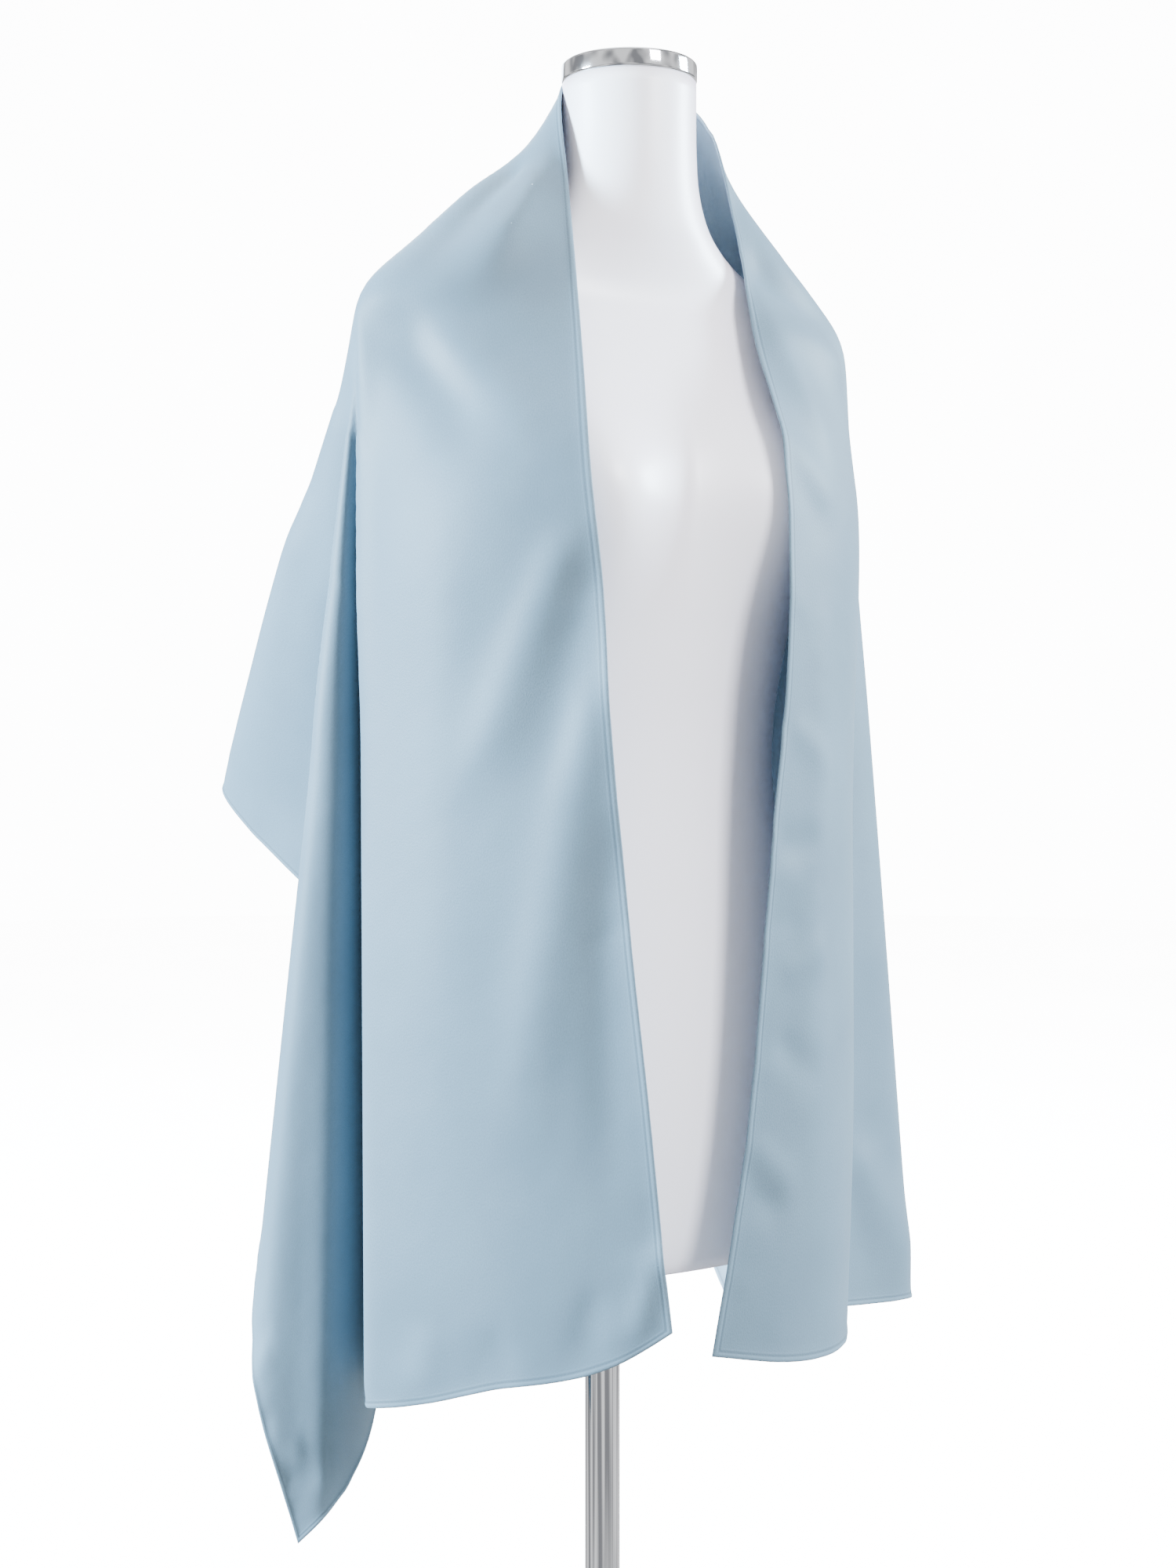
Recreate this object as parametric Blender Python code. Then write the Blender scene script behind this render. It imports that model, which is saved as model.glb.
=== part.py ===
"""An evening stole draped over the shoulders of a limbless dress form on a pole and a round base.

The form faces -Y, +Z is up, and the axis of the pole is the Z axis. Sizes are in centimetres and
angles in degrees. Objects are made in metres.

The stole is one rectangle of satin with a narrow turned hem on each edge. "Along" is a distance
on the flat cloth from the middle of its length towards a short end, and "across" a distance from
the neck edge to the outer edge. Every flat point has its place on the form. At the front a panel
spans from the free edge to the front fold. Behind that fold the cloth hangs from the shoulder tip
in straight lines, as a cone does, and the fold tables say which way those lines point. Sections
from the neck edge to the outer edge shape the back. The drape is divided at its shoulders and
folds into stretches, each a body of its own beside the next.
"""

from collections import namedtuple
from math import atan2, cos, degrees, exp, hypot, pi, radians, sin, tan

import bpy
from mathutils import Vector
from mathutils.bvhtree import BVHTree

CM = 0.01

# Cut of the stole, its wall and its hems
STOLE_LENGTH = 192.0
STOLE_WIDTH = 60.0
WALL = 0.15
HEM_WIDTH = 0.7
HEM_WALL = 0.1
HEM_GAP = 0.035

# Grid of the cloth: cells along it, and cells across the front panel, the tuck behind it and the rest
CELLS_ALONG = 70
PANEL_CELLS = 7
TUCK_CELLS = 6
OUTER_CELLS = 10
CELLS_ACROSS = PANEL_CELLS + TUCK_CELLS + OUTER_CELLS
COLUMN_BLEND = 26.0

# Stretches of the cloth, from one row and column of the grid to another, and the gap at their seams
SEAM_GAP = 0.035
RIGHT_HIP_ROW = 15
RIGHT_SHOULDER_ROW = 27
LEFT_SHOULDER_ROW = 44
LEFT_HIP_ROW = 55
Stretch = namedtuple("Stretch", "name first_row last_row first_column last_column")
STRETCHES = (
    Stretch("stole_front_right", 0, RIGHT_SHOULDER_ROW, 0, PANEL_CELLS),
    Stretch("stole_side_right", 0, RIGHT_HIP_ROW, PANEL_CELLS, CELLS_ACROSS),
    Stretch("stole_back_right", RIGHT_HIP_ROW, RIGHT_SHOULDER_ROW, PANEL_CELLS, CELLS_ACROSS),
    Stretch("stole_neck", RIGHT_SHOULDER_ROW, LEFT_SHOULDER_ROW, 0, PANEL_CELLS),
    Stretch("stole_back", RIGHT_SHOULDER_ROW, LEFT_SHOULDER_ROW, PANEL_CELLS, CELLS_ACROSS),
    Stretch("stole_back_left", LEFT_SHOULDER_ROW, LEFT_HIP_ROW, PANEL_CELLS, CELLS_ACROSS),
    Stretch("stole_side_left", LEFT_HIP_ROW, CELLS_ALONG, PANEL_CELLS, CELLS_ACROSS),
    Stretch("stole_front_left", LEFT_SHOULDER_ROW, CELLS_ALONG, 0, PANEL_CELLS),
)

# How sharply the cloth bends: the tightest fold near a tip, and how the whole sheet is softened
FOLD_ROUNDING = 1.7
WIDEST_ROUNDING = 12.0
ROUNDING_STEPS = (-1.0, -0.5, 0.0, 0.5, 1.0)
SOFTENING_PASSES = 2
INNER_PULL = 0.3
EDGE_PULL = 0.25

# How the cloth comes to rest on the form
REST_GAP = 0.07
SETTLING_PASSES = 40
CELL_SPOTS = 7
CORNER_PUSH = 0.25
NEAR_FORM = 5.0

# Where the cloth meets each shoulder tip, on the form and on the flat cloth
Tip = namedtuple("Tip", "x y z along across fold_across_at_hem tuck_angle")
RIGHT_TIP = Tip(-19.8, -1.0, 98.2, 21.0, 15.0, 22.8, 14.0)
LEFT_TIP = Tip(20.7, -1.5, 97.0, 25.0, 15.0, 22.0, 10.0)

# Dress form and stand
FORM_SEGMENTS = 48
NECK_CENTRE_Y = -3.75
NECK_RADIUS = 4.75
NECK_TOP_Z = 113.9
CAP_RADIUS = 4.78
CAP_HEIGHT = 1.35
CAP_EDGE = 0.25
FORM_BOTTOM_Z = 31.6
STAND_GAP = 0.03
ROUNDING_CUTS = 4
POLE_RADIUS = 1.25
POLE_SEGMENTS = 28
BASE_RADIUS = 15.0
BASE_HEIGHT = 1.2
BASE_EDGE = 0.35
BASE_SEGMENTS = 56
COLLAR_RADIUS = 2.6
COLLAR_HEIGHT = 2.4
COLLAR_EDGE = 0.2

# Free edge at the front, from the back of the neck down to the hem
EdgePoint = namedtuple("EdgePoint", "x y z")
RIGHT_EDGE = (
    EdgePoint(0.0, 1.5, 114.9),
    EdgePoint(-4.4, -1.3, 115.3),
    EdgePoint(-5.1, -3.1, 111.9),
    EdgePoint(-5.6, -4.8, 108.0),
    EdgePoint(-6.6, -7.3, 102.1),
    EdgePoint(-7.4, -9.4, 98.0),
    EdgePoint(-9.1, -13.4, 90.6),
    EdgePoint(-10.1, -15.8, 85.2),
    EdgePoint(-9.6, -16.4, 78.2),
    EdgePoint(-8.6, -16.4, 65.2),
    EdgePoint(-7.5, -16.4, 55.1),
    EdgePoint(-6.2, -16.4, 45.0),
    EdgePoint(-5.1, -16.5, 34.9),
    EdgePoint(-4.4, -16.5, 29.7),
)
LEFT_EDGE = (
    EdgePoint(0.0, 1.5, 114.9),
    EdgePoint(3.6, 0.9, 114.8),
    EdgePoint(6.3, -2.2, 114.0),
    EdgePoint(7.1, -3.1, 111.8),
    EdgePoint(7.8, -3.8, 109.3),
    EdgePoint(8.4, -4.0, 106.4),
    EdgePoint(8.2, -5.0, 103.4),
    EdgePoint(7.4, -7.0, 99.6),
    EdgePoint(6.9, -9.0, 96.7),
    EdgePoint(6.2, -11.5, 93.4),
    EdgePoint(5.5, -14.0, 89.8),
    EdgePoint(5.3, -15.5, 86.0),
    EdgePoint(5.4, -15.7, 78.4),
    EdgePoint(5.3, -15.3, 70.2),
    EdgePoint(4.5, -15.0, 62.3),
    EdgePoint(3.8, -15.0, 54.4),
    EdgePoint(2.2, -15.0, 40.4),
    EdgePoint(-0.4, -15.0, 27.2),
)

# Lines of the cloth that hang from a shoulder tip: the angle on the flat cloth from the front
# fold, and how far each line leans outward and backward from straight down
Fold = namedtuple("Fold", "name flat out back")
RIGHT_FOLDS = (
    Fold("front fold", 0.0, -0.1, 0.0),
    Fold("hip side", 5.0, -3.8, 4.0),
    Fold("behind the hip", 10.0, -6.0, 8.6),
    Fold("tucked fold", 14.0, -7.0, 12.0),
    Fold("side flank", 18.5, -4.0, 7.4),
    Fold("flank front", 22.0, -1.1, 5.1),
    Fold("low corner", 25.3, 0.4, 5.9),
    Fold("side roll", 30.6, 2.6, 7.6),
    Fold("roll back", 36.0, 0.4, 12.0),
    Fold("inner flank", 44.0, -7.5, 16.2),
    Fold("back valley", 53.0, -13.0, 18.5),
    Fold("ridge flank", 64.0, -8.0, 22.6),
    Fold("ridge front", 72.0, -5.0, 28.0),
    Fold("back ridge", 84.2, -1.8, 41.0),
    Fold("back", 97.0, -13.0, 36.5),
)
LEFT_FOLDS = (
    Fold("front groove", 0.0, -3.0, -2.9),
    Fold("groove side", 2.8, -0.2, -1.8),
    Fold("side roll", 7.7, 5.2, 0.2),
    Fold("side", 17.0, 6.0, 8.6),
    Fold("low corner", 26.5, 4.4, 17.0),
    Fold("corner back", 31.0, 1.8, 20.4),
    Fold("inner flank", 43.0, -7.5, 22.0),
    Fold("back valley", 56.0, -16.0, 24.0),
    Fold("ridge flank", 70.0, -9.0, 30.0),
    Fold("back ridge", 84.5, -1.8, 39.5),
    Fold("back", 97.0, -13.0, 36.0),
)

# How far a front panel stands out in front of the straight line from its edge to its fold
Bulge = namedtuple("Bulge", "along depth")
RIGHT_BULGES = (
    Bulge(21.0, 1.6),
    Bulge(28.0, 2.0),
    Bulge(38.0, 2.6),
    Bulge(52.0, 1.6),
    Bulge(66.0, 1.5),
    Bulge(80.0, 1.3),
    Bulge(96.0, 0.9),
)
LEFT_BULGES = (
    Bulge(24.0, 1.6),
    Bulge(30.0, 1.8),
    Bulge(40.0, 2.4),
    Bulge(54.0, 2.2),
    Bulge(68.0, 2.8),
    Bulge(82.0, 3.5),
    Bulge(96.0, 4.0),
)

# How far a front panel's hem hangs below the straight line between its corners
Drop = namedtuple("Drop", "part depth")
RIGHT_HEM = (
    Drop(0.0, 0.0),
    Drop(0.14, 1.1),
    Drop(0.32, 1.3),
    Drop(0.55, 0.7),
    Drop(0.8, 0.6),
    Drop(1.0, 0.0),
)
LEFT_HEM = (
    Drop(0.0, 0.0),
    Drop(0.3, 1.0),
    Drop(0.7, 0.9),
    Drop(1.0, 0.0),
)
HEM_SWAY_HEIGHT = 22.0
EDGE_CUTS = 8

# The panels round over the shoulder near its tip
SHOULDER_RISE = 1.2
SHOULDER_RISE_LENGTH = 12.0
SECTION_STEP = 7.0

# Sections of the back of the cloth, each at one distance along from the middle, on the right
# where that is negative. Each goes from the neck edge to the outer edge.
BackPoint = namedtuple("BackPoint", "across x y z")
BACK_SECTIONS = {
    -14.0: (
        BackPoint(0.0, -5.8, -5.3, 106.4),
        BackPoint(4.0, -9.0, -3.8, 106.6),
        BackPoint(8.0, -11.9, -1.5, 105.4),
        BackPoint(15.0, -13.8, 3.2, 101.0),
        BackPoint(30.0, -13.0, 11.2, 88.3),
        BackPoint(45.0, -12.7, 18.4, 75.1),
        BackPoint(60.0, -12.2, 25.4, 61.9),
    ),
    -7.0: (
        BackPoint(0.0, -4.8, -2.4, 113.3),
        BackPoint(4.0, -5.9, -0.2, 109.9),
        BackPoint(8.0, -6.8, 2.5, 107.1),
        BackPoint(15.0, -7.2, 7.0, 101.6),
        BackPoint(30.0, -6.9, 12.9, 87.8),
        BackPoint(45.0, -6.7, 18.5, 73.9),
        BackPoint(60.0, -6.4, 23.8, 59.9),
    ),
    0.0: (
        BackPoint(0.0, 0.0, 1.5, 114.9),
        BackPoint(4.0, 0.0, 3.0, 110.6),
        BackPoint(8.0, 0.0, 4.9, 107.1),
        BackPoint(15.0, 0.0, 8.0, 100.8),
        BackPoint(30.0, 0.0, 13.5, 86.9),
        BackPoint(45.0, 0.0, 18.6, 72.8),
        BackPoint(60.0, 0.0, 23.0, 58.5),
    ),
    8.0: (
        BackPoint(0.0, 6.4, -2.3, 113.7),
        BackPoint(4.0, 7.6, 0.3, 110.5),
        BackPoint(8.0, 8.4, 3.1, 107.8),
        BackPoint(15.0, 8.5, 7.5, 102.7),
        BackPoint(30.0, 7.8, 13.6, 89.1),
        BackPoint(45.0, 7.5, 19.1, 75.1),
        BackPoint(60.0, 7.2, 24.2, 61.0),
    ),
    16.0: (
        BackPoint(0.0, 8.4, -4.1, 106.2),
        BackPoint(4.0, 10.8, -3.3, 105.8),
        BackPoint(8.0, 13.3, -1.5, 104.1),
        BackPoint(15.0, 15.3, 3.2, 101.2),
        BackPoint(30.0, 14.5, 11.6, 88.8),
        BackPoint(45.0, 14.1, 18.7, 75.6),
        BackPoint(60.0, 13.7, 25.5, 62.3),
    ),
}

# Dress form: half width, front and back of each level, and how square its outline is
Level = namedtuple("Level", "z half front back square")
FORM_LEVELS = (
    Level(31.6, 15.0, -10.6, 10.2, 2.2),
    Level(34.0, 15.5, -11.1, 10.9, 2.2),
    Level(40.0, 15.7, -11.4, 11.6, 2.2),
    Level(46.0, 15.6, -11.4, 11.8, 2.2),
    Level(52.0, 14.8, -11.2, 10.8, 2.2),
    Level(58.0, 13.4, -10.9, 9.2, 2.2),
    Level(64.0, 12.1, -10.6, 7.9, 2.2),
    Level(69.0, 12.0, -10.7, 7.6, 2.2),
    Level(74.0, 12.7, -11.3, 7.9, 2.2),
    Level(79.0, 13.6, -11.9, 8.4, 2.2),
    Level(84.0, 14.6, -12.0, 8.8, 2.2),
    Level(88.0, 16.0, -11.3, 9.0, 2.2),
    Level(91.5, 17.6, -9.9, 8.9, 2.1),
    Level(94.5, 18.7, -8.6, 8.3, 2.0),
    Level(96.6, 19.0, -7.6, 7.4, 2.0),
    Level(98.0, 18.0, -7.0, 6.6, 2.0),
    Level(99.2, 15.4, -6.9, 5.8, 2.0),
    Level(100.4, 12.3, -7.1, 4.9, 2.0),
    Level(101.8, 9.2, -7.5, 3.8, 2.0),
    Level(103.6, 6.7, -8.0, 2.4, 2.0),
    Level(106.0, 5.3, -8.3, 1.4, 2.0),
    Level(109.0, 4.8, -8.45, 1.02, 2.0),
    Level(NECK_TOP_Z, NECK_RADIUS, NECK_CENTRE_Y - NECK_RADIUS, NECK_CENTRE_Y + NECK_RADIUS, 2.0),
)
BREAST_X = 8.2
BREAST_Z = 84.5
BREAST_DEPTH = 3.9
BREAST_WIDTH = 5.4
BREAST_HEIGHT = 6.4

Finish = namedtuple("Finish", "red green blue roughness metallic")
FINISHES = {
    "satin": Finish(0.46, 0.57, 0.66, 0.35, 0.0),
    "form_gloss": Finish(0.85, 0.84, 0.87, 0.2, 0.0),
    "chrome": Finish(0.75, 0.76, 0.78, 0.08, 1.0),
}


def spline(points, t):
    """A smooth curve through evenly numbered points, at place t from 0 to the last number."""
    last = len(points) - 1
    i = min(max(int(t), 0), last - 1)
    f = t - i
    b, c = points[i], points[i + 1]
    a = points[i - 1] if i else b + (b - c)
    d = points[i + 2] if i + 2 <= last else c + (c - b)
    square = 2 * a - 5 * b + 4 * c - d
    cube = 3 * b - a - 3 * c + d
    return 0.5 * (2 * b + (c - a) * f + square * f**2 + cube * f**3)


def smooth_through(keys, values, key):
    """A smooth curve through values at rising keys, read at one key."""
    last = len(keys) - 1
    i = 0
    while i < last - 1 and key > keys[i + 1]:
        i += 1
    span = keys[i + 1] - keys[i]
    f = (key - keys[i]) / span

    def slope(j):
        if j == 0:
            return (values[1] - values[0]) / (keys[1] - keys[0])
        if j == last:
            return (values[last] - values[last - 1]) / (keys[last] - keys[last - 1])
        return (values[j + 1] - values[j - 1]) / (keys[j + 1] - keys[j - 1])

    b, c = values[i], values[i + 1]
    start, end = slope(i) * span, slope(i + 1) * span
    square = 3 * (c - b) - 2 * start - end
    cube = 2 * (b - c) + start + end
    return b + start * f + square * f**2 + cube * f**3


def add_object(name, vertices, faces, material, smooth=True):
    """One closed body, named, with its own material. Vertices are in centimetres."""
    mesh = bpy.data.meshes.new(name)
    mesh.from_pydata([tuple(Vector(v) * CM) for v in vertices], [], faces)
    mesh.update()
    for polygon in mesh.polygons:
        polygon.use_smooth = smooth
    mesh.materials.append(bpy.data.materials[material])
    body = bpy.data.objects.new(name, mesh)
    bpy.context.scene.collection.objects.link(body)
    return body


def add_materials():
    for name, finish in FINISHES.items():
        material = bpy.data.materials.new(name)
        material.use_nodes = True
        shader = material.node_tree.nodes["Principled BSDF"]
        shader.inputs["Base Color"].default_value = (finish.red, finish.green, finish.blue, 1.0)
        shader.inputs["Roughness"].default_value = finish.roughness
        shader.inputs["Metallic"].default_value = finish.metallic


def form_ring(level):
    """One level of the dress form, as an outline of even angles."""
    centre = (level.front + level.back) / 2
    depth = (level.back - level.front) / 2
    ring = []
    for i in range(FORM_SEGMENTS):
        angle = 2 * pi * i / FORM_SEGMENTS
        cx, cy = cos(angle), sin(angle)
        reach = (abs(cx) ** level.square + abs(cy) ** level.square) ** (-1 / level.square)
        x = level.half * reach * cx
        y = centre + depth * reach * cy
        if cy < 0:
            side = abs(x) - BREAST_X
            lift = level.z - BREAST_Z
            bump = exp(-((side / BREAST_WIDTH) ** 2) - (lift / BREAST_HEIGHT) ** 2)
            y -= BREAST_DEPTH * bump * (-cy)
        ring.append(Vector((x, y, level.z)))
    return ring


def lofted(rings):
    """Vertices and faces of a closed body through rings of equal length, with flat ends."""
    count = len(rings[0])
    vertices = [point for ring in rings for point in ring]
    faces = []
    for row in range(len(rings) - 1):
        for i in range(count):
            j = (i + 1) % count
            low, high = row * count, (row + 1) * count
            faces.append((low + i, low + j, high + j, high + i))
    for row, order in ((0, -1), (len(rings) - 1, 1)):
        centre = len(vertices)
        ring = range(row * count, (row + 1) * count)
        vertices.append(sum((vertices[k] for k in ring), Vector()) / count)
        for i in range(count):
            a, b = ring[i], ring[(i + 1) % count]
            faces.append((centre, a, b) if order == 1 else (centre, b, a))
    return vertices, faces


def turned(profile, segments, centre_y=0.0):
    """Rings of a round body from a profile of (radius, z)."""
    rings = []
    for radius, z in profile:
        rings.append([])
        for i in range(segments):
            angle = 2 * pi * i / segments
            rings[-1].append(Vector((radius * cos(angle), centre_y + radius * sin(angle), z)))
    return rings


def rounded_disc(radius, low, high, edge):
    """Profile of a disc from z low to z high with a rounded upper edge."""
    profile = [(radius, low)]
    for i in range(ROUNDING_CUTS + 1):
        angle = pi / 2 * i / ROUNDING_CUTS
        profile.append((radius - edge + edge * cos(angle), high - edge + edge * sin(angle)))
    return profile


class Side:
    """One half of the stole: its front edge, its folds and the places of its flat points."""

    def __init__(self, tip, edge, folds, bulges, hem):
        self.half = STOLE_LENGTH / 2
        self.flat = tip
        self.tip = Vector((tip.x, tip.y, tip.z))
        self.sign = 1 if tip.x > 0 else -1
        self.folds = folds
        self.bulges = bulges
        self.hem = hem
        self.fold_slope = (tip.fold_across_at_hem - tip.across) / (self.half - tip.along)
        self.fold_angle = degrees(atan2(self.fold_slope, 1.0))
        self.edge_points = [Vector(point) for point in edge]
        self.edge_lengths = [0.0]
        for i in range(len(self.edge_points) - 1):
            total = 0.0
            for k in range(EDGE_CUTS):
                a = spline(self.edge_points, i + k / EDGE_CUTS)
                b = spline(self.edge_points, i + (k + 1) / EDGE_CUTS)
                total += (b - a).length
            self.edge_lengths.append(self.edge_lengths[-1] + total)
        self.edge_stretch = self.edge_lengths[-1] / self.half

    def front_edge(self, along):
        """The place of a point on the front edge, by its distance from the middle."""
        length = along * self.edge_stretch
        i = 0
        while i < len(self.edge_lengths) - 2 and length > self.edge_lengths[i + 1]:
            i += 1
        part = (length - self.edge_lengths[i]) / (self.edge_lengths[i + 1] - self.edge_lengths[i])
        return spline(self.edge_points, i + part)

    def hanging_line(self, flat_angle, reach):
        """Direction of the line of cloth that leaves the shoulder tip at this flat angle.

        Close to the tip the folds are rounder, as the cloth bends no more sharply than FOLD_ROUNDING.
        """
        keys = [fold.flat for fold in self.folds]
        outs = [fold.out for fold in self.folds]
        backs = [fold.back for fold in self.folds]
        spread = min(degrees(FOLD_ROUNDING / max(reach, 1.0)), WIDEST_ROUNDING)
        out = back = 0.0
        for step in ROUNDING_STEPS:
            angle = min(max(flat_angle + step * spread, 0.0), keys[-1])
            out += smooth_through(keys, outs, angle) / len(ROUNDING_STEPS)
            back += smooth_through(keys, backs, angle) / len(ROUNDING_STEPS)
        x, y = self.sign * sin(radians(out)), sin(radians(back))
        return Vector((x, y, -max(1 - x * x - y * y, 0.0) ** 0.5))

    def hanging(self, along, across):
        """A point behind the front fold, on its line from the shoulder tip."""
        dx, dy = along - self.flat.along, across - self.flat.across
        angle = degrees(atan2(dy, dx)) - self.fold_angle
        reach = hypot(dx, dy)
        return self.tip + self.hanging_line(max(angle, 0.0), reach) * reach

    def fold_across(self, along):
        return self.flat.across + (along - self.flat.along) * self.fold_slope

    def panel(self, along, across):
        """A point of the front panel, between its free edge and the front fold."""
        fold_across = self.fold_across(along)
        part = across / fold_across
        edge = self.front_edge(along)
        fold = self.hanging(along, fold_across)
        chord = fold - edge
        outward = Vector((chord.y, -chord.x, 0.0)).normalized()
        if outward.y > 0:
            outward = -outward
        depth = smooth_through(
            [bulge.along for bulge in self.bulges],
            [bulge.depth for bulge in self.bulges],
            along,
        )
        above = (along - self.flat.along) / SHOULDER_RISE_LENGTH
        lift = Vector((0, 0, SHOULDER_RISE * max(0.0, 1 - above)))
        drop = smooth_through(
            [row.part for row in self.hem],
            [row.depth for row in self.hem],
            part,
        )
        near_hem = max(0.0, 1 - (self.half - along) / HEM_SWAY_HEIGHT)
        sway = Vector((0, 0, -drop * near_hem * near_hem))
        return edge + chord * part + (outward * depth + lift) * sin(pi * part) + sway

    def column(self, along, part):
        """How far across a column of the grid lies. Below the tip the columns follow the folds."""
        plain = STOLE_WIDTH * part
        if along <= self.flat.along:
            return plain
        tuck_slope = tan(radians(self.fold_angle + self.flat.tuck_angle))
        tuck = self.flat.across + (along - self.flat.along) * tuck_slope
        keys = (0.0, PANEL_CELLS / CELLS_ACROSS, (PANEL_CELLS + TUCK_CELLS) / CELLS_ACROSS, 1.0)
        values = (0.0, self.fold_across(along), tuck, STOLE_WIDTH)
        k = 0
        while k < 2 and part > keys[k + 1]:
            k += 1
        share = (part - keys[k]) / (keys[k + 1] - keys[k])
        led = values[k] + (values[k + 1] - values[k]) * share
        blend = min((along - self.flat.along) / COLUMN_BLEND, 1.0)
        return plain + (led - plain) * blend * blend * (3 - 2 * blend)

    def place(self, along, across):
        """The place of any point at least as far along as the shoulder tip."""
        if across <= self.fold_across(along):
            return self.panel(along, across)
        return self.hanging(along, across)


def back_point(along, across):
    """A point of one of the back sections."""
    rows = BACK_SECTIONS[along]
    keys = [row.across for row in rows]
    places = [Vector((row.x, row.y, row.z)) for row in rows]
    return smooth_through(keys, places, across)


def stole_grid(right, left, cells_along, cells_across):
    """Rows of points from the right hem round the back to the left hem."""
    half = STOLE_LENGTH / 2
    start, end = -right.flat.along, left.flat.along
    keys = [start - SECTION_STEP, start, *sorted(BACK_SECTIONS), end, end + SECTION_STEP]
    grid = []
    for i in range(cells_along + 1):
        along = -half + STOLE_LENGTH * i / cells_along
        row = []
        for j in range(cells_across + 1):
            side = right if along < 0 else left
            across = side.column(abs(along), j / cells_across)
            if along <= start:
                row.append(right.place(-along, across))
            elif along >= end:
                row.append(left.place(along, across))
            else:
                posts = [right.place(-key, across) for key in keys[:2]]
                posts += [back_point(key, across) for key in keys[2:-2]]
                posts += [left.place(key, across) for key in keys[-2:]]
                row.append(smooth_through(keys, posts, along))
        grid.append(row)
    return grid


def softened(grid):
    """The grid with each point drawn a little towards its neighbours, edges along themselves."""
    rows, columns = len(grid), len(grid[0])
    result = []
    for i in range(rows):
        line = []
        for j in range(columns):
            near = []
            if 0 < i < rows - 1:
                near += [grid[i - 1][j], grid[i + 1][j]]
            if 0 < j < columns - 1:
                near += [grid[i][j - 1], grid[i][j + 1]]
            on_edge = i in (0, rows - 1) or j in (0, columns - 1)
            if not near:
                line.append(grid[i][j].copy())
                continue
            mean = sum(near, Vector()) / len(near)
            line.append(grid[i][j].lerp(mean, EDGE_PULL if on_edge else INNER_PULL))
        result.append(line)
    return result


def grid_normals(grid):
    """Outward normals of the grid: away from the body, on the side that shows."""
    rows, columns = len(grid), len(grid[0])
    normals = []
    for i in range(rows):
        line = []
        for j in range(columns):
            along = grid[min(i + 1, rows - 1)][j] - grid[max(i - 1, 0)][j]
            across = grid[i][min(j + 1, columns - 1)] - grid[i][max(j - 1, 0)]
            line.append(along.cross(across).normalized())
        normals.append(line)
    return normals


def hem_depth(i, j, rows, columns):
    """How deep the cloth reaches below its middle surface here, with the hem at its edges."""
    if i <= 1 or i >= rows - 2 or j <= 1 or j >= columns - 2:
        return WALL / 2 + HEM_GAP + HEM_WALL
    return WALL / 2


def settled(grid, tree):
    """The grid moved off the dress form where its inner face would come nearer than the gap."""
    rows, columns = len(grid), len(grid[0])
    steps = [step / CELL_SPOTS for step in range(CELL_SPOTS + 1)]
    spots = [(s, t) for s in steps for t in steps]
    cells = [(i, j) for i in range(rows - 1) for j in range(columns - 1)]
    for turn in range(SETTLING_PASSES):
        normals = grid_normals(grid)
        inner = [
            [
                grid[i][j] - normals[i][j] * hem_depth(i, j, rows, columns)
                for j in range(columns)
            ]
            for i in range(rows)
        ]
        moves = {}
        near_cells = []
        for i, j in cells:
            a, b, c, d = inner[i][j], inner[i + 1][j], inner[i + 1][j + 1], inner[i][j + 1]
            if turn == 0 and tree.find_nearest((a + b + c + d) / 4)[3] > NEAR_FORM:
                continue
            near_cells.append((i, j))
            for s, t in spots:
                if s >= t:
                    point = a + (b - a) * s + (c - b) * t
                else:
                    point = a + (d - a) * t + (c - d) * s
                place, normal, _index, away = tree.find_nearest(point)
                outside = (point - place).dot(normal) > 0
                short = REST_GAP - (away if outside else -away)
                if short <= 0:
                    continue
                for corner in ((i, j), (i + 1, j), (i + 1, j + 1), (i, j + 1)):
                    share = (s if corner[0] > i else 1 - s) * (t if corner[1] > j else 1 - t)
                    push = short * (CORNER_PUSH + share)
                    if corner not in moves or moves[corner].length < push:
                        moves[corner] = normal * push
        cells = near_cells
        for (i, j), move in moves.items():
            grid[i][j] = grid[i][j] + move
        if not moves:
            break
    return grid


def hem_parts(right, left):
    """The hem's width as a share of the first and of the last cell of each row of the grid."""
    parts = []
    for i in range(CELLS_ALONG + 1):
        along = STOLE_LENGTH * (i / CELLS_ALONG - 0.5)
        side = right if along < 0 else left
        first = side.column(abs(along), 1 / CELLS_ACROSS)
        last = STOLE_WIDTH - side.column(abs(along), 1 - 1 / CELLS_ACROSS)
        parts.append((HEM_WIDTH / first, HEM_WIDTH / last))
    return parts


def with_hem_lines(grid, parts_across):
    """The grid with one more row or column at the hem's width inside each edge."""
    part_along = HEM_WIDTH * CELLS_ALONG / STOLE_LENGTH
    wider = []
    for line, (first_part, last_part) in zip(grid, parts_across):
        first = line[0].lerp(line[1], first_part)
        last = line[-1].lerp(line[-2], last_part)
        wider.append([line[0], first, *line[1:-1], last, line[-1]])
    first = [a.lerp(b, part_along) for a, b in zip(wider[0], wider[1])]
    last = [a.lerp(b, part_along) for a, b in zip(wider[-1], wider[-2])]
    return [wider[0], first, *wider[1:-1], last, wider[-1]]


def moved(grid, normals, distance):
    """The grid with every point moved along its normal."""
    return [
        [point + normal * distance for point, normal in zip(line, directions)]
        for line, directions in zip(grid, normals)
    ]


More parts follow.
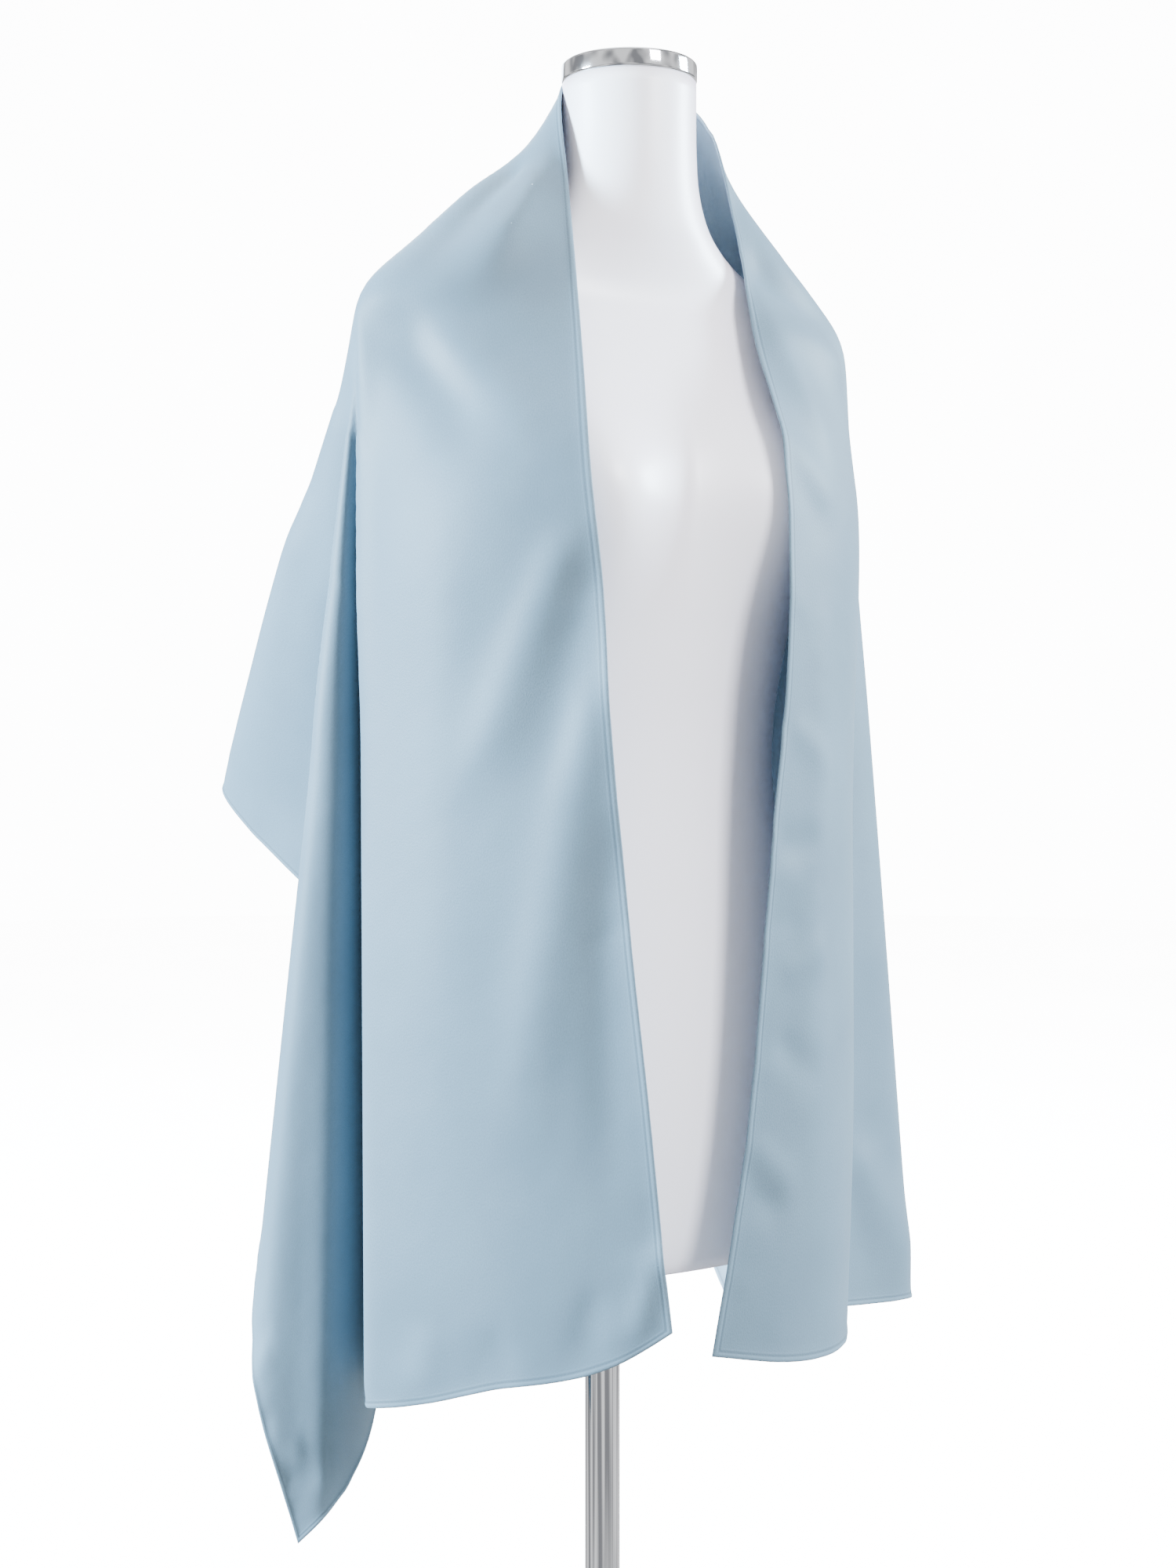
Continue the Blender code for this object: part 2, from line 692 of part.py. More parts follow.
def add_sheet(name, outer, inner, material):
    """A closed wall between two grids of the same size, the outer one facing away from the body."""
    rows, columns = len(outer), len(outer[0])
    vertices = [point for line in outer + inner for point in line]
    shift = rows * columns
    faces = []
    for i in range(rows - 1):
        for j in range(columns - 1):
            a = i * columns + j
            b, c, d = a + columns, a + columns + 1, a + 1
            for one, two, three in ((a, b, c), (a, c, d)):
                faces.append((one, two, three))
                faces.append((one + shift, three + shift, two + shift))
    rim = [(i, 0) for i in range(rows)]
    rim += [(rows - 1, j) for j in range(1, columns)]
    rim += [(i, columns - 1) for i in range(rows - 2, -1, -1)]
    rim += [(0, j) for j in range(columns - 2, 0, -1)]
    for k, (i, j) in enumerate(rim):
        m, n = rim[(k + 1) % len(rim)]
        a, b = i * columns + j, m * columns + n
        if a < b:
            faces += [(b, a, b + shift), (a, a + shift, b + shift)]
        else:
            faces += [(b, a, a + shift), (b, a + shift, b + shift)]
    return add_object(name, vertices, faces, material)


def hemmed_number(number, last):
    """The number of a row or column once a hem line stands inside each edge."""
    if number == 0:
        return 0
    return number + 2 if number == last else number + 1


def seamed(block, first_is_seam, last_is_seam):
    """Rows of a block, with those at a seam drawn in square to it by half the gap."""
    lines = list(block)
    last = len(block[0]) - 1
    for line, inner, is_seam in ((0, 1, first_is_seam), (-1, -2, last_is_seam)):
        if not is_seam:
            continue
        seam = block[line]
        lines[line] = []
        for k, point in enumerate(seam):
            run = (seam[min(k + 1, last)] - seam[max(k - 1, 0)]).normalized()
            step = block[inner][k] - point
            square = (step - run * step.dot(run)).normalized()
            lines[line].append(point + square * (SEAM_GAP / 2))
    return lines


def add_stretch(stretch, grid, normals):
    """One stretch of the cloth, as a wall with its own part of the grid."""
    first_row = hemmed_number(stretch.first_row, CELLS_ALONG)
    last_row = hemmed_number(stretch.last_row, CELLS_ALONG)
    first_column = hemmed_number(stretch.first_column, CELLS_ACROSS)
    last_column = hemmed_number(stretch.last_column, CELLS_ACROSS)
    block = [line[first_column : last_column + 1] for line in grid[first_row : last_row + 1]]
    facing = [line[first_column : last_column + 1] for line in normals[first_row : last_row + 1]]
    block = seamed(block, stretch.first_row > 0, stretch.last_row < CELLS_ALONG)
    turned_block = [list(line) for line in zip(*block)]
    turned_block = seamed(turned_block, stretch.first_column > 0, stretch.last_column < CELLS_ACROSS)
    block = [list(line) for line in zip(*turned_block)]
    add_sheet(stretch.name, moved(block, facing, WALL / 2), moved(block, facing, -WALL / 2), "satin")


def add_hem(name, grid, normals, rows, columns):
    """A turned edge: a narrow strip along the hidden face, made from the wall's own points."""
    strip = [[grid[i][j] for j in columns] for i in rows]
    directions = [[normals[i][j] for j in columns] for i in rows]
    near = moved(strip, directions, -(WALL / 2 + HEM_GAP))
    far = moved(strip, directions, -(WALL / 2 + HEM_GAP + HEM_WALL))
    return add_sheet(name, near, far, "satin")


def add_form():
    """The dress form and its neck cap. Returns the surface that the cloth rests on."""
    rings = [form_ring(level) for level in FORM_LEVELS]
    add_object("form_body", *lofted(rings), "form_gloss")
    cap_low = NECK_TOP_Z + STAND_GAP
    cap = rounded_disc(CAP_RADIUS, cap_low, cap_low + CAP_HEIGHT, CAP_EDGE)
    add_object("neck_cap", *lofted(turned(cap, FORM_SEGMENTS, NECK_CENTRE_Y)), "chrome")
    past_cap = ((CAP_RADIUS, cap_low), (CAP_RADIUS, cap_low + 2 * CAP_HEIGHT))
    rings[-1:] = turned(past_cap, FORM_SEGMENTS, NECK_CENTRE_Y)
    vertices, faces = lofted(rings)
    return BVHTree.FromPolygons([tuple(v) for v in vertices], faces)


def add_stand():
    """The collar under the form, the pole and the base plate, all on the Z axis."""
    collar_top = FORM_BOTTOM_Z - STAND_GAP
    collar_low = collar_top - COLLAR_HEIGHT
    collar = rounded_disc(COLLAR_RADIUS, collar_low, collar_top, COLLAR_EDGE)
    add_object("pole_collar", *lofted(turned(collar, POLE_SEGMENTS)), "chrome")
    pole = ((POLE_RADIUS, BASE_HEIGHT + STAND_GAP), (POLE_RADIUS, collar_low - STAND_GAP))
    add_object("pole", *lofted(turned(pole, POLE_SEGMENTS)), "chrome")
    base = rounded_disc(BASE_RADIUS, 0.0, BASE_HEIGHT, BASE_EDGE)
    add_object("base_plate", *lofted(turned(base, BASE_SEGMENTS)), "chrome")


def add_stole(tree):
    """The stretches of the cloth and its four turned edges."""
    right = Side(RIGHT_TIP, RIGHT_EDGE, RIGHT_FOLDS, RIGHT_BULGES, RIGHT_HEM)
    left = Side(LEFT_TIP, LEFT_EDGE, LEFT_FOLDS, LEFT_BULGES, LEFT_HEM)
    grid = stole_grid(right, left, CELLS_ALONG, CELLS_ACROSS)
    for _ in range(SOFTENING_PASSES):
        grid = softened(grid)
    grid = settled(grid, tree)
    parts = hem_parts(right, left)
    fine = with_hem_lines(grid, parts)
    normals = with_hem_lines(grid_normals(grid), parts)
    for stretch in STRETCHES:
        add_stretch(stretch, fine, normals)

    rows, columns = len(fine), len(fine[0])
    add_hem("hem_neck_edge", fine, normals, range(rows), (0, 1))
    add_hem("hem_outer_edge", fine, normals, range(rows), (columns - 2, columns - 1))
    add_hem("hem_right_end", fine, normals, (0, 1), range(2, columns - 2))
    add_hem("hem_left_end", fine, normals, (rows - 2, rows - 1), range(2, columns - 2))


def main():
    for thing in list(bpy.data.objects):
        bpy.data.objects.remove(thing, do_unlink=True)
    add_materials()
    tree = add_form()
    add_stand()
    add_stole(tree)


main()
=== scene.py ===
"""An evening stole of pale satin draped over a limbless dress form, with its studio.

The form faces -Y and +Z is up. Tables are in centimetres and degrees, and every finished mesh is in
metres. "Along" is a distance on the flat cloth from the middle of its length towards a short end,
negative on the form's right, and "across" a distance from the neck edge to the outer edge.
"""

from collections import namedtuple
from math import atan, cos, degrees, pi, radians, sin, tan

import bpy
import numpy as np
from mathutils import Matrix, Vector
from mathutils.bvhtree import BVHTree


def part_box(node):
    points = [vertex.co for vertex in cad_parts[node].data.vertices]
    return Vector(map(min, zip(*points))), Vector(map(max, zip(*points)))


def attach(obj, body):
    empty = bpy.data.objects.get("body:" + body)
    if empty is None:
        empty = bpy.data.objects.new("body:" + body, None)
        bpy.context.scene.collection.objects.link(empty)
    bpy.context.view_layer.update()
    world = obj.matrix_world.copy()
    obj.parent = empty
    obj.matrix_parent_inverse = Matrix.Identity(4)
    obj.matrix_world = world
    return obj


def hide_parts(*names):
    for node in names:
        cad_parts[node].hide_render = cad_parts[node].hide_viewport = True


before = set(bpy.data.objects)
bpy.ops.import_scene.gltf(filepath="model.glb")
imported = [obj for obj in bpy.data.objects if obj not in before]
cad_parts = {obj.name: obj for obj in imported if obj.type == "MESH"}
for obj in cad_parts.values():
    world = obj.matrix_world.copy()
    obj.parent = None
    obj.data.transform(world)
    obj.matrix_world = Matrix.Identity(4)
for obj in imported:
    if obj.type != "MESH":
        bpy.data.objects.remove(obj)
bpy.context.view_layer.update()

bl_info = {
    "name": "Evening stole on a dress form",
    "version": (1, 0, 0),
    "blender": (4, 5, 0),
    "location": "3D View > Sidebar > Stole",
    "description": "Makes a draped satin stole, the dress form under it and a plain studio",
    "category": "Object",
}

CM = 0.01
BODY = "root"

# Flat cut, in centimetres
STOLE_LENGTH = 192.0
STOLE_WIDTH = 60.0
HALF = STOLE_LENGTH / 2

# Grid of the drape: rows along the cloth, and columns over the panel, the tuck behind it and the rest
ROWS = 320
PANEL_COLUMNS = 42
TUCK_COLUMNS = 30
OUTER_COLUMNS = 46
COLUMNS = PANEL_COLUMNS + TUCK_COLUMNS + OUTER_COLUMNS
COLUMN_BLEND = 26.0
FOLD_ROUNDING = 1.7
WIDEST_ROUNDING = 12.0
ROUNDING_STEPS = (-1.0, -0.5, 0.0, 0.5, 1.0)
SOFTENING_PASSES = 12
INNER_PULL = 0.3
EDGE_PULL = 0.25

# How the cloth rests on the form
REST_GAP = 0.1
SETTLING_PASSES = 12
NEAR_FORM = 3.0

# Where the cloth meets each shoulder tip, on the form and on the flat cloth
Tip = namedtuple("Tip", "x y z along across fold_across_at_hem tuck_angle")
RIGHT_TIP = Tip(-19.8, -1.0, 98.2, 21.0, 15.0, 22.8, 14.0)
LEFT_TIP = Tip(20.7, -1.5, 97.0, 25.0, 15.0, 22.0, 10.0)

# Free edge at the front, from the back of the neck down to the hem
EdgePoint = namedtuple("EdgePoint", "x y z")
RIGHT_EDGE = (
    EdgePoint(0.0, 1.5, 114.9),
    EdgePoint(-4.4, -1.3, 115.3),
    EdgePoint(-5.1, -3.1, 111.9),
    EdgePoint(-5.6, -4.8, 108.0),
    EdgePoint(-6.6, -7.3, 102.1),
    EdgePoint(-7.4, -9.4, 98.0),
    EdgePoint(-9.1, -13.4, 90.6),
    EdgePoint(-10.1, -15.8, 85.2),
    EdgePoint(-9.6, -16.4, 78.2),
    EdgePoint(-8.6, -16.4, 65.2),
    EdgePoint(-7.5, -16.4, 55.1),
    EdgePoint(-6.2, -16.4, 45.0),
    EdgePoint(-5.1, -16.5, 34.9),
    EdgePoint(-4.4, -16.5, 29.7),
)
LEFT_EDGE = (
    EdgePoint(0.0, 1.5, 114.9),
    EdgePoint(3.6, 0.9, 114.8),
    EdgePoint(6.3, -2.2, 114.0),
    EdgePoint(7.1, -3.1, 111.8),
    EdgePoint(7.8, -3.8, 109.3),
    EdgePoint(8.4, -4.0, 106.4),
    EdgePoint(8.2, -5.0, 103.4),
    EdgePoint(7.4, -7.0, 99.6),
    EdgePoint(6.9, -9.0, 96.7),
    EdgePoint(6.2, -11.5, 93.4),
    EdgePoint(5.5, -14.0, 89.8),
    EdgePoint(5.3, -15.5, 86.0),
    EdgePoint(5.4, -15.7, 78.4),
    EdgePoint(5.3, -15.3, 70.2),
    EdgePoint(4.5, -15.0, 62.3),
    EdgePoint(3.8, -15.0, 54.4),
    EdgePoint(2.2, -15.0, 40.4),
    EdgePoint(-0.4, -15.0, 27.2),
)

# Lines of the cloth that hang from a shoulder tip: the angle on the flat cloth from the front
# fold, and how far each line leans outward and backward from straight down
Fold = namedtuple("Fold", "name flat out back")
RIGHT_FOLDS = (
    Fold("front fold", 0.0, -0.1, 0.0),
    Fold("hip side", 5.0, -3.8, 4.0),
    Fold("behind the hip", 10.0, -6.0, 8.6),
    Fold("tucked fold", 14.0, -7.0, 12.0),
    Fold("side flank", 18.5, -4.0, 7.4),
    Fold("flank front", 22.0, -1.1, 5.1),
    Fold("low corner", 25.3, 0.4, 5.9),
    Fold("side roll", 30.6, 2.6, 7.6),
    Fold("roll back", 36.0, 0.4, 12.0),
    Fold("inner flank", 44.0, -7.5, 16.2),
    Fold("back valley", 53.0, -13.0, 18.5),
    Fold("ridge flank", 64.0, -8.0, 22.6),
    Fold("ridge front", 72.0, -5.0, 28.0),
    Fold("back ridge", 84.2, -1.8, 41.0),
    Fold("back", 97.0, -13.0, 36.5),
)
LEFT_FOLDS = (
    Fold("front groove", 0.0, -3.0, -2.9),
    Fold("groove side", 2.8, -0.2, -1.8),
    Fold("side roll", 7.7, 5.2, 0.2),
    Fold("side", 17.0, 6.0, 8.6),
    Fold("low corner", 26.5, 4.4, 17.0),
    Fold("corner back", 31.0, 1.8, 20.4),
    Fold("inner flank", 43.0, -7.5, 22.0),
    Fold("back valley", 56.0, -16.0, 24.0),
    Fold("ridge flank", 70.0, -9.0, 30.0),
    Fold("back ridge", 84.5, -1.8, 39.5),
    Fold("back", 97.0, -13.0, 36.0),
)

# How far a front panel stands out in front of the straight line from its edge to its fold
Bulge = namedtuple("Bulge", "along depth")
RIGHT_BULGES = (
    Bulge(21.0, 1.6),
    Bulge(28.0, 2.0),
    Bulge(38.0, 2.6),
    Bulge(52.0, 1.6),
    Bulge(66.0, 1.5),
    Bulge(80.0, 1.3),
    Bulge(96.0, 0.9),
)
LEFT_BULGES = (
    Bulge(24.0, 1.6),
    Bulge(30.0, 1.8),
    Bulge(40.0, 2.4),
    Bulge(54.0, 2.2),
    Bulge(68.0, 2.8),
    Bulge(82.0, 3.5),
    Bulge(96.0, 4.0),
)

# How far a front panel's hem hangs below the straight line between its corners
Drop = namedtuple("Drop", "part depth")
RIGHT_HEM = (
    Drop(0.0, 0.0),
    Drop(0.14, 1.1),
    Drop(0.32, 1.3),
    Drop(0.55, 0.7),
    Drop(0.8, 0.6),
    Drop(1.0, 0.0),
)
LEFT_HEM = (
    Drop(0.0, 0.0),
    Drop(0.3, 1.0),
    Drop(0.7, 0.9),
    Drop(1.0, 0.0),
)
HEM_SWAY_HEIGHT = 22.0
SHOULDER_RISE = 1.2
SHOULDER_RISE_LENGTH = 12.0
SECTION_STEP = 7.0

# Sections of the back of the cloth, from the neck edge to the outer edge
BackPoint = namedtuple("BackPoint", "across x y z")
BACK_SECTIONS = {
    -14.0: (
        BackPoint(0.0, -5.8, -5.3, 106.4),
        BackPoint(4.0, -9.0, -3.8, 106.6),
        BackPoint(8.0, -11.9, -1.5, 105.4),
        BackPoint(15.0, -13.8, 3.2, 101.0),
        BackPoint(30.0, -13.0, 11.2, 88.3),
        BackPoint(45.0, -12.7, 18.4, 75.1),
        BackPoint(60.0, -12.2, 25.4, 61.9),
    ),
    -7.0: (
        BackPoint(0.0, -4.8, -2.4, 113.3),
        BackPoint(4.0, -5.9, -0.2, 109.9),
        BackPoint(8.0, -6.8, 2.5, 107.1),
        BackPoint(15.0, -7.2, 7.0, 101.6),
        BackPoint(30.0, -6.9, 12.9, 87.8),
        BackPoint(45.0, -6.7, 18.5, 73.9),
        BackPoint(60.0, -6.4, 23.8, 59.9),
    ),
    0.0: (
        BackPoint(0.0, 0.0, 1.5, 114.9),
        BackPoint(4.0, 0.0, 3.0, 110.6),
        BackPoint(8.0, 0.0, 4.9, 107.1),
        BackPoint(15.0, 0.0, 8.0, 100.8),
        BackPoint(30.0, 0.0, 13.5, 86.9),
        BackPoint(45.0, 0.0, 18.6, 72.8),
        BackPoint(60.0, 0.0, 23.0, 58.5),
    ),
    8.0: (
        BackPoint(0.0, 6.4, -2.3, 113.7),
        BackPoint(4.0, 7.6, 0.3, 110.5),
        BackPoint(8.0, 8.4, 3.1, 107.8),
        BackPoint(15.0, 8.5, 7.5, 102.7),
        BackPoint(30.0, 7.8, 13.6, 89.1),
        BackPoint(45.0, 7.5, 19.1, 75.1),
        BackPoint(60.0, 7.2, 24.2, 61.0),
    ),
    16.0: (
        BackPoint(0.0, 8.4, -4.1, 106.2),
        BackPoint(4.0, 10.8, -3.3, 105.8),
        BackPoint(8.0, 13.3, -1.5, 104.1),
        BackPoint(15.0, 15.3, 3.2, 101.2),
        BackPoint(30.0, 14.5, 11.6, 88.8),
        BackPoint(45.0, 14.1, 18.7, 75.6),
        BackPoint(60.0, 13.7, 25.5, 62.3),
    ),
}

# Creases: soft ridges where the height is positive and troughs where it is negative. Each bends
# from its start towards its middle point and on to its end, all on the flat cloth.
Crease = namedtuple("Crease", "name along across mid_along mid_across end_along end_across width height")
CREASES = (
    # Right shoulder and front panel
    Crease("trough down from the neck", -9.6, 3.8, -17, 5.6, -22.6, 11.6, 1.3, -0.8),
    Crease("ridge down from the neck", -9.6, 1.2, -21, 2.8, -25.4, 9, 1.2, 0.5),
    Crease("ridge in from the shoulder", -21.8, 14.6, -23.2, 11.8, -24.2, 6.4, 0.9, 0.6),
    Crease("nick at the shoulder tip", -21.6, 15.2, -23.4, 14.9, -25.5, 14.6, 0.6, -0.3),
    Crease("trough under the shoulder", -23.4, 13.9, -28.0, 10.4, -36.0, 5.6, 1.1, -0.7),
    Crease("ridge towards the bust", -25.5, 10.6, -29.5, 6.0, -37.8, 1.4, 1.5, 0.3),
    Crease("front fold from the tip", -21.2, 15.1, -30.0, 15.9, -52.0, 18.2, 0.9, 0.34),
    Crease("trough behind the front fold", -22, 16.6, -27, 17.6, -38, 19.2, 0.9, -0.4),
    Crease("short ridge at the bust", -33.0, 4.8, -37.0, 3.2, -40.5, 0.6, 0.9, 0.14),
    Crease("upper fold of the panel", -42.0, 1.0, -49.0, 4.6, -59.0, 10.4, 1.6, 0.5),
    Crease("hollow beside that fold", -43.5, 0.2, -52.0, 1.7, -60.0, 5.4, 1.5, -0.3),
    Crease("middle fold of the panel", -50.0, -0.4, -65.0, 4.4, -83.0, 9.4, 1.9, 0.5),
    Crease("hollow by the free edge", -60.0, -0.2, -73.0, 2.4, -88.0, 2.6, 1.4, -0.34),
    Crease("faint fold in the middle", -38.0, 8.5, -58.0, 12.5, -80.0, 14.0, 2.6, 0.2),
    Crease("stroke at the low corner", -89.6, 0.4, -92.9, 1.2, -95.6, 3.0, 0.80, 0.30),
    Crease("dip above the hem", -90.8, 4.4, -93.4, 5.6, -95.4, 6.2, 1.10, -0.24),
    Crease("second dip above the hem", -92.0, 11.2, -94.0, 12.4, -95.4, 14.2, 1.30, -0.20),
    Crease("lift of the hem", -91.0, 16.4, -93.8, 17.6, -95.6, 18.2, 1.40, 0.20),
    # Left shoulder and front panel
    Crease("trough over the left shoulder", 19.4, 0.9, 24.4, 3.4, 25.4, 12.4, 1.3, -1.15),
    Crease("ridge below that trough", 25.8, 1.3, 28.4, 6.4, 28.8, 11.6, 1.1, 0.75),
    Crease("long ridge to the bust", 22.6, 0.9, 31.0, 1.9, 38.6, 6.2, 0.9, 0.66),
    Crease("short ridge at the free edge", 35.8, 0.0, 37.6, 2.0, 40.6, 5.4, 0.8, 0.5),
    Crease("dip after it", 38.4, 0.0, 40.0, 1.8, 42.4, 4.4, 0.80, -0.22),
    Crease("tuft at the waist", 55.0, 0.6, 56.0, 3.0, 58.4, 6.0, 0.90, 0.18),
    Crease("dent at the waist", 62.6, 0.4, 63.4, 2.4, 62.0, 5.0, 0.90, -0.19),
    Crease("stroke at the hip", 71.8, 1.6, 70.4, 3.6, 69.2, 6.4, 0.90, 0.20),
    Crease("dent at the hip", 75.2, 1.4, 77.0, 3.2, 78.6, 6.6, 1.00, -0.23),
    Crease("stroke from the free edge", 82.2, 0.2, 83.6, 2.0, 85.6, 5.0, 0.80, 0.24),
    Crease("dent below it", 84.6, 0.2, 86.2, 2.2, 87.4, 4.4, 0.80, -0.18),
    Crease("faint fold down the left panel", 44.0, 3.4, 66.0, 5.0, 90.0, 5.6, 1.80, 0.30),
    Crease("flare at the left hem", 83.0, 22.0, 90.0, 26.6, 95.4, 31.4, 2.20, 0.46),
    # Inside of the collar, left of the neck
    Crease("first fold inside the collar", 7.4, 1.4, 10.4, 6.0, 13.6, 13.8, 0.8, 0.3),
    Crease("second fold inside the collar", 10.6, 0.8, 12.8, 5.2, 15.4, 11.6, 0.75, -0.28),
    # Right side and the corner of the back
    Crease("fold to the back corner", -20.8, 30.0, -22.4, 46.0, -26.8, 60.0, 2.6, 0.6),
    Crease("hollow beside that corner", -27.0, 34.0, -29.6, 46.0, -32.6, 59.0, 2.2, -0.5),
    Crease("pull from the right shoulder", -24.0, 19.0, -34.0, 27.0, -50.0, 36.0, 1.6, 0.3),
    Crease("tuft in the low corner", -86.4, 59.6, -88.4, 57.6, -90.8, 56.0, 0.80, 0.23),
    Crease("dent in the low corner", -90.6, 59.8, -92.0, 57.6, -93.0, 54.6, 0.80, -0.20),
    # Back
    Crease("slack under the neck", -7.5, 4.0, 0.0, 8.8, 8.0, 4.4, 1.2, -0.34),
    Crease("second slack", -11.0, 8.4, 0.5, 16.6, 12.6, 9.2, 1.8, -0.42),
    Crease("right back fold", -17.6, 14.0, -11.6, 30.0, -8.4, 55.0, 2.0, 0.5),
    Crease("hollow inside it", -12.0, 13.6, -6.6, 30.0, -4.0, 50.0, 1.9, -0.4),
    Crease("middle back fold", 0.6, 18.0, -0.6, 36.0, 1.8, 59.0, 2.3, 0.4),
    Crease("left back fold", 18.8, 14.0, 12.4, 31.0, 8.2, 57.0, 2.1, 0.52),
    Crease("hollow to its right", 22.4, 20.0, 18.0, 36.0, 15.2, 58.0, 1.9, -0.42),
    Crease("short pull at the left shoulder", 23.4, 16.0, 19.0, 19.0, 15.0, 26.0, 1.2, 0.26),
    # Left side
    Crease("fold down the left side", 30.0, 19.6, 56.0, 27.6, 88.0, 35.4, 2.0, 0.42),
    Crease("hollow behind it", 32.0, 24.6, 52.0, 37.4, 76.0, 51.6, 2.1, -0.44),
    Crease("fold to the left low corner", 44.0, 40.0, 64.0, 50.0, 90.0, 57.0, 2.2, 0.4),
)

# Little puckers that the hem stitches draw into the cloth, square to each edge
Pucker = namedtuple("Pucker", "edge first step reach width height")
PUCKERS = (
    Pucker("neck edge", -91.0, 6.7, 2.6, 0.55, 0.075),
    Pucker("outer edge", -92.5, 5.3, 3.2, 0.6, 0.1),
    Pucker("right end", 3.4, 5.9, 2.4, 0.55, 0.07),
    Pucker("left end", 4.2, 6.3, 2.4, 0.55, 0.07),
)
PUCKER_SWAY = 0.45
CREASE_STEPS = 60
CREASE_SOFTENING = 3
CREASE_START = 0.22
CREASE_END = 0.3

# Section of a turned hem: distance in from the edge, and half its thickness there
HemRow = namedtuple("HemRow", "inward half")
HEM_ROWS = (
    HemRow(0.0, 0.03),
    HemRow(0.06, 0.085),
    HemRow(0.16, 0.105),
    HemRow(0.3, 0.095),
    HemRow(0.4, 0.048),
    HemRow(0.48, 0.064),
    HemRow(0.57, 0.036),
)
HEM_REACH = 0.62

# Tone of the cloth by part of the way in over the hem: a painted highlight on the three-layer hem band, painted
# shade on the sunk stitch line
HemPaintedLightAndShade = namedtuple("HemPaintedLightAndShade", "part level")
HEM_PAINTED_LIGHT_REACH = 0.9
HEM_PAINTED_LIGHT_AND_SHADE = (
    HemPaintedLightAndShade(0.0, 1.0),
    HemPaintedLightAndShade(0.3, 1.0),
    HemPaintedLightAndShade(0.4, 0.66),
    HemPaintedLightAndShade(0.47, 0.62),
    HemPaintedLightAndShade(0.55, 0.84),
    HemPaintedLightAndShade(0.75, 0.88),
    HemPaintedLightAndShade(1.0, 0.88),
)
STITCH_ROW = 4
STITCH_SINK = 0.012

# Dress form: half width, front and back of each level, and how square its outline is
Level = namedtuple("Level", "z half front back square")
NECK_CENTRE_Y = -3.75
NECK_RADIUS = 4.75
NECK_TOP_Z = 113.9
FORM_LEVELS = (
    Level(31.6, 15.0, -10.6, 10.2, 2.2),
    Level(34.0, 15.5, -11.1, 10.9, 2.2),
    Level(40.0, 15.7, -11.4, 11.6, 2.2),
    Level(46.0, 15.6, -11.4, 11.8, 2.2),
    Level(52.0, 14.8, -11.2, 10.8, 2.2),
    Level(58.0, 13.4, -10.9, 9.2, 2.2),
    Level(64.0, 12.1, -10.6, 7.9, 2.2),
    Level(69.0, 12.0, -10.7, 7.6, 2.2),
    Level(74.0, 12.7, -11.3, 7.9, 2.2),
    Level(79.0, 13.6, -11.9, 8.4, 2.2),
    Level(84.0, 14.6, -12.0, 8.8, 2.2),
    Level(88.0, 16.0, -11.3, 9.0, 2.2),
    Level(91.5, 17.6, -9.9, 8.9, 2.1),
    Level(94.5, 18.7, -8.6, 8.3, 2.0),
    Level(96.6, 19.0, -7.6, 7.4, 2.0),
    Level(98.0, 18.0, -7.0, 6.6, 2.0),
    Level(99.2, 15.4, -6.9, 5.8, 2.0),
    Level(100.4, 12.3, -7.1, 4.9, 2.0),
    Level(101.8, 9.2, -7.5, 3.8, 2.0),
    Level(103.6, 6.7, -8.0, 2.4, 2.0),
    Level(106.0, 5.3, -8.3, 1.4, 2.0),
    Level(109.0, 4.8, -8.45, 1.02, 2.0),
    Level(NECK_TOP_Z, NECK_RADIUS, NECK_CENTRE_Y - NECK_RADIUS, NECK_CENTRE_Y + NECK_RADIUS, 2.0),
)
BREAST_X = 8.2
BREAST_Z = 84.5
BREAST_DEPTH = 3.9
BREAST_WIDTH = 5.4
BREAST_HEIGHT = 6.4
FORM_SEGMENTS = 160
FORM_STEPS = 6
FORM_RIM = 0.5
FORM_SHRINK = 0.03

# Studio: white paper under and around the form, a room with lighter and darker patches, and lamps.
# Paper and room glow in multiples of a white card's brightness.
BACKDROP_RADIUS = 600.0
BACKDROP_HEIGHT = 700.0
BACKDROP_GLOW = 12.0
ROOM_LIGHT = 1.7
ROOM_PATCHES = 2.4
Lamp = namedtuple("Lamp", "name x y z size watts colour")
LAMPS = (
    Lamp("key light", -3.1, 0.9, 1.25, 0.8, 880.0, "#D4EEFF"),
    Lamp("front light", 0.7, -2.9, 2.3, 0.9, 190.0, "#F8FAFF"),
    Lamp("right light", 2.9, -0.9, 1.7, 1.0, 380.0, "#DAF0FF"),
    Lamp("top light", 0.2, 0.3, 3.2, 1.6, 55.0, "#F8FAFF"),
    Lamp("back light", 0.8, 2.6, 2.0, 1.6, 85.0, "#E4F1FF"),
)
LAMP_TARGET = (0.0, 0.0, 0.75)

# Camera, from the size of the form in the picture
CAMERA_PLACE = (-0.815, -1.391, 0.702)
CAMERA_TURN = -30.0
CAMERA_LENS = 51.48
CAMERA_SHIFT = -0.05


def through(keys, values, at):
    """A smooth curve through values at rising keys, read at many places at once."""
    keys, values = np.asarray(keys, float), np.asarray(values, float)
    at = np.asarray(at, float)
    more = (None,) * (values.ndim - 1)
    steps = np.diff(keys)[(..., *more)]
    slopes = np.empty_like(values)
    slopes[0] = (values[1] - values[0]) / steps[0]
    slopes[-1] = (values[-1] - values[-2]) / steps[-1]
    slopes[1:-1] = (values[2:] - values[:-2]) / (steps[1:] + steps[:-1])
    i = np.clip(np.searchsorted(keys[1:], at, "left"), 0, len(keys) - 2)
    span = (keys[i + 1] - keys[i])[(..., *more)]
    f = (at - keys[i])[(..., *more)] / span
    start, end = slopes[i] * span, slopes[i + 1] * span
    rise = values[i + 1] - values[i]
    return values[i] + start * f + (3 * rise - 2 * start - end) * f**2 + (start + end - 2 * rise) * f**3


def unit(vectors):
    return vectors / np.maximum(np.linalg.norm(vectors, axis=-1, keepdims=True), 1e-9)


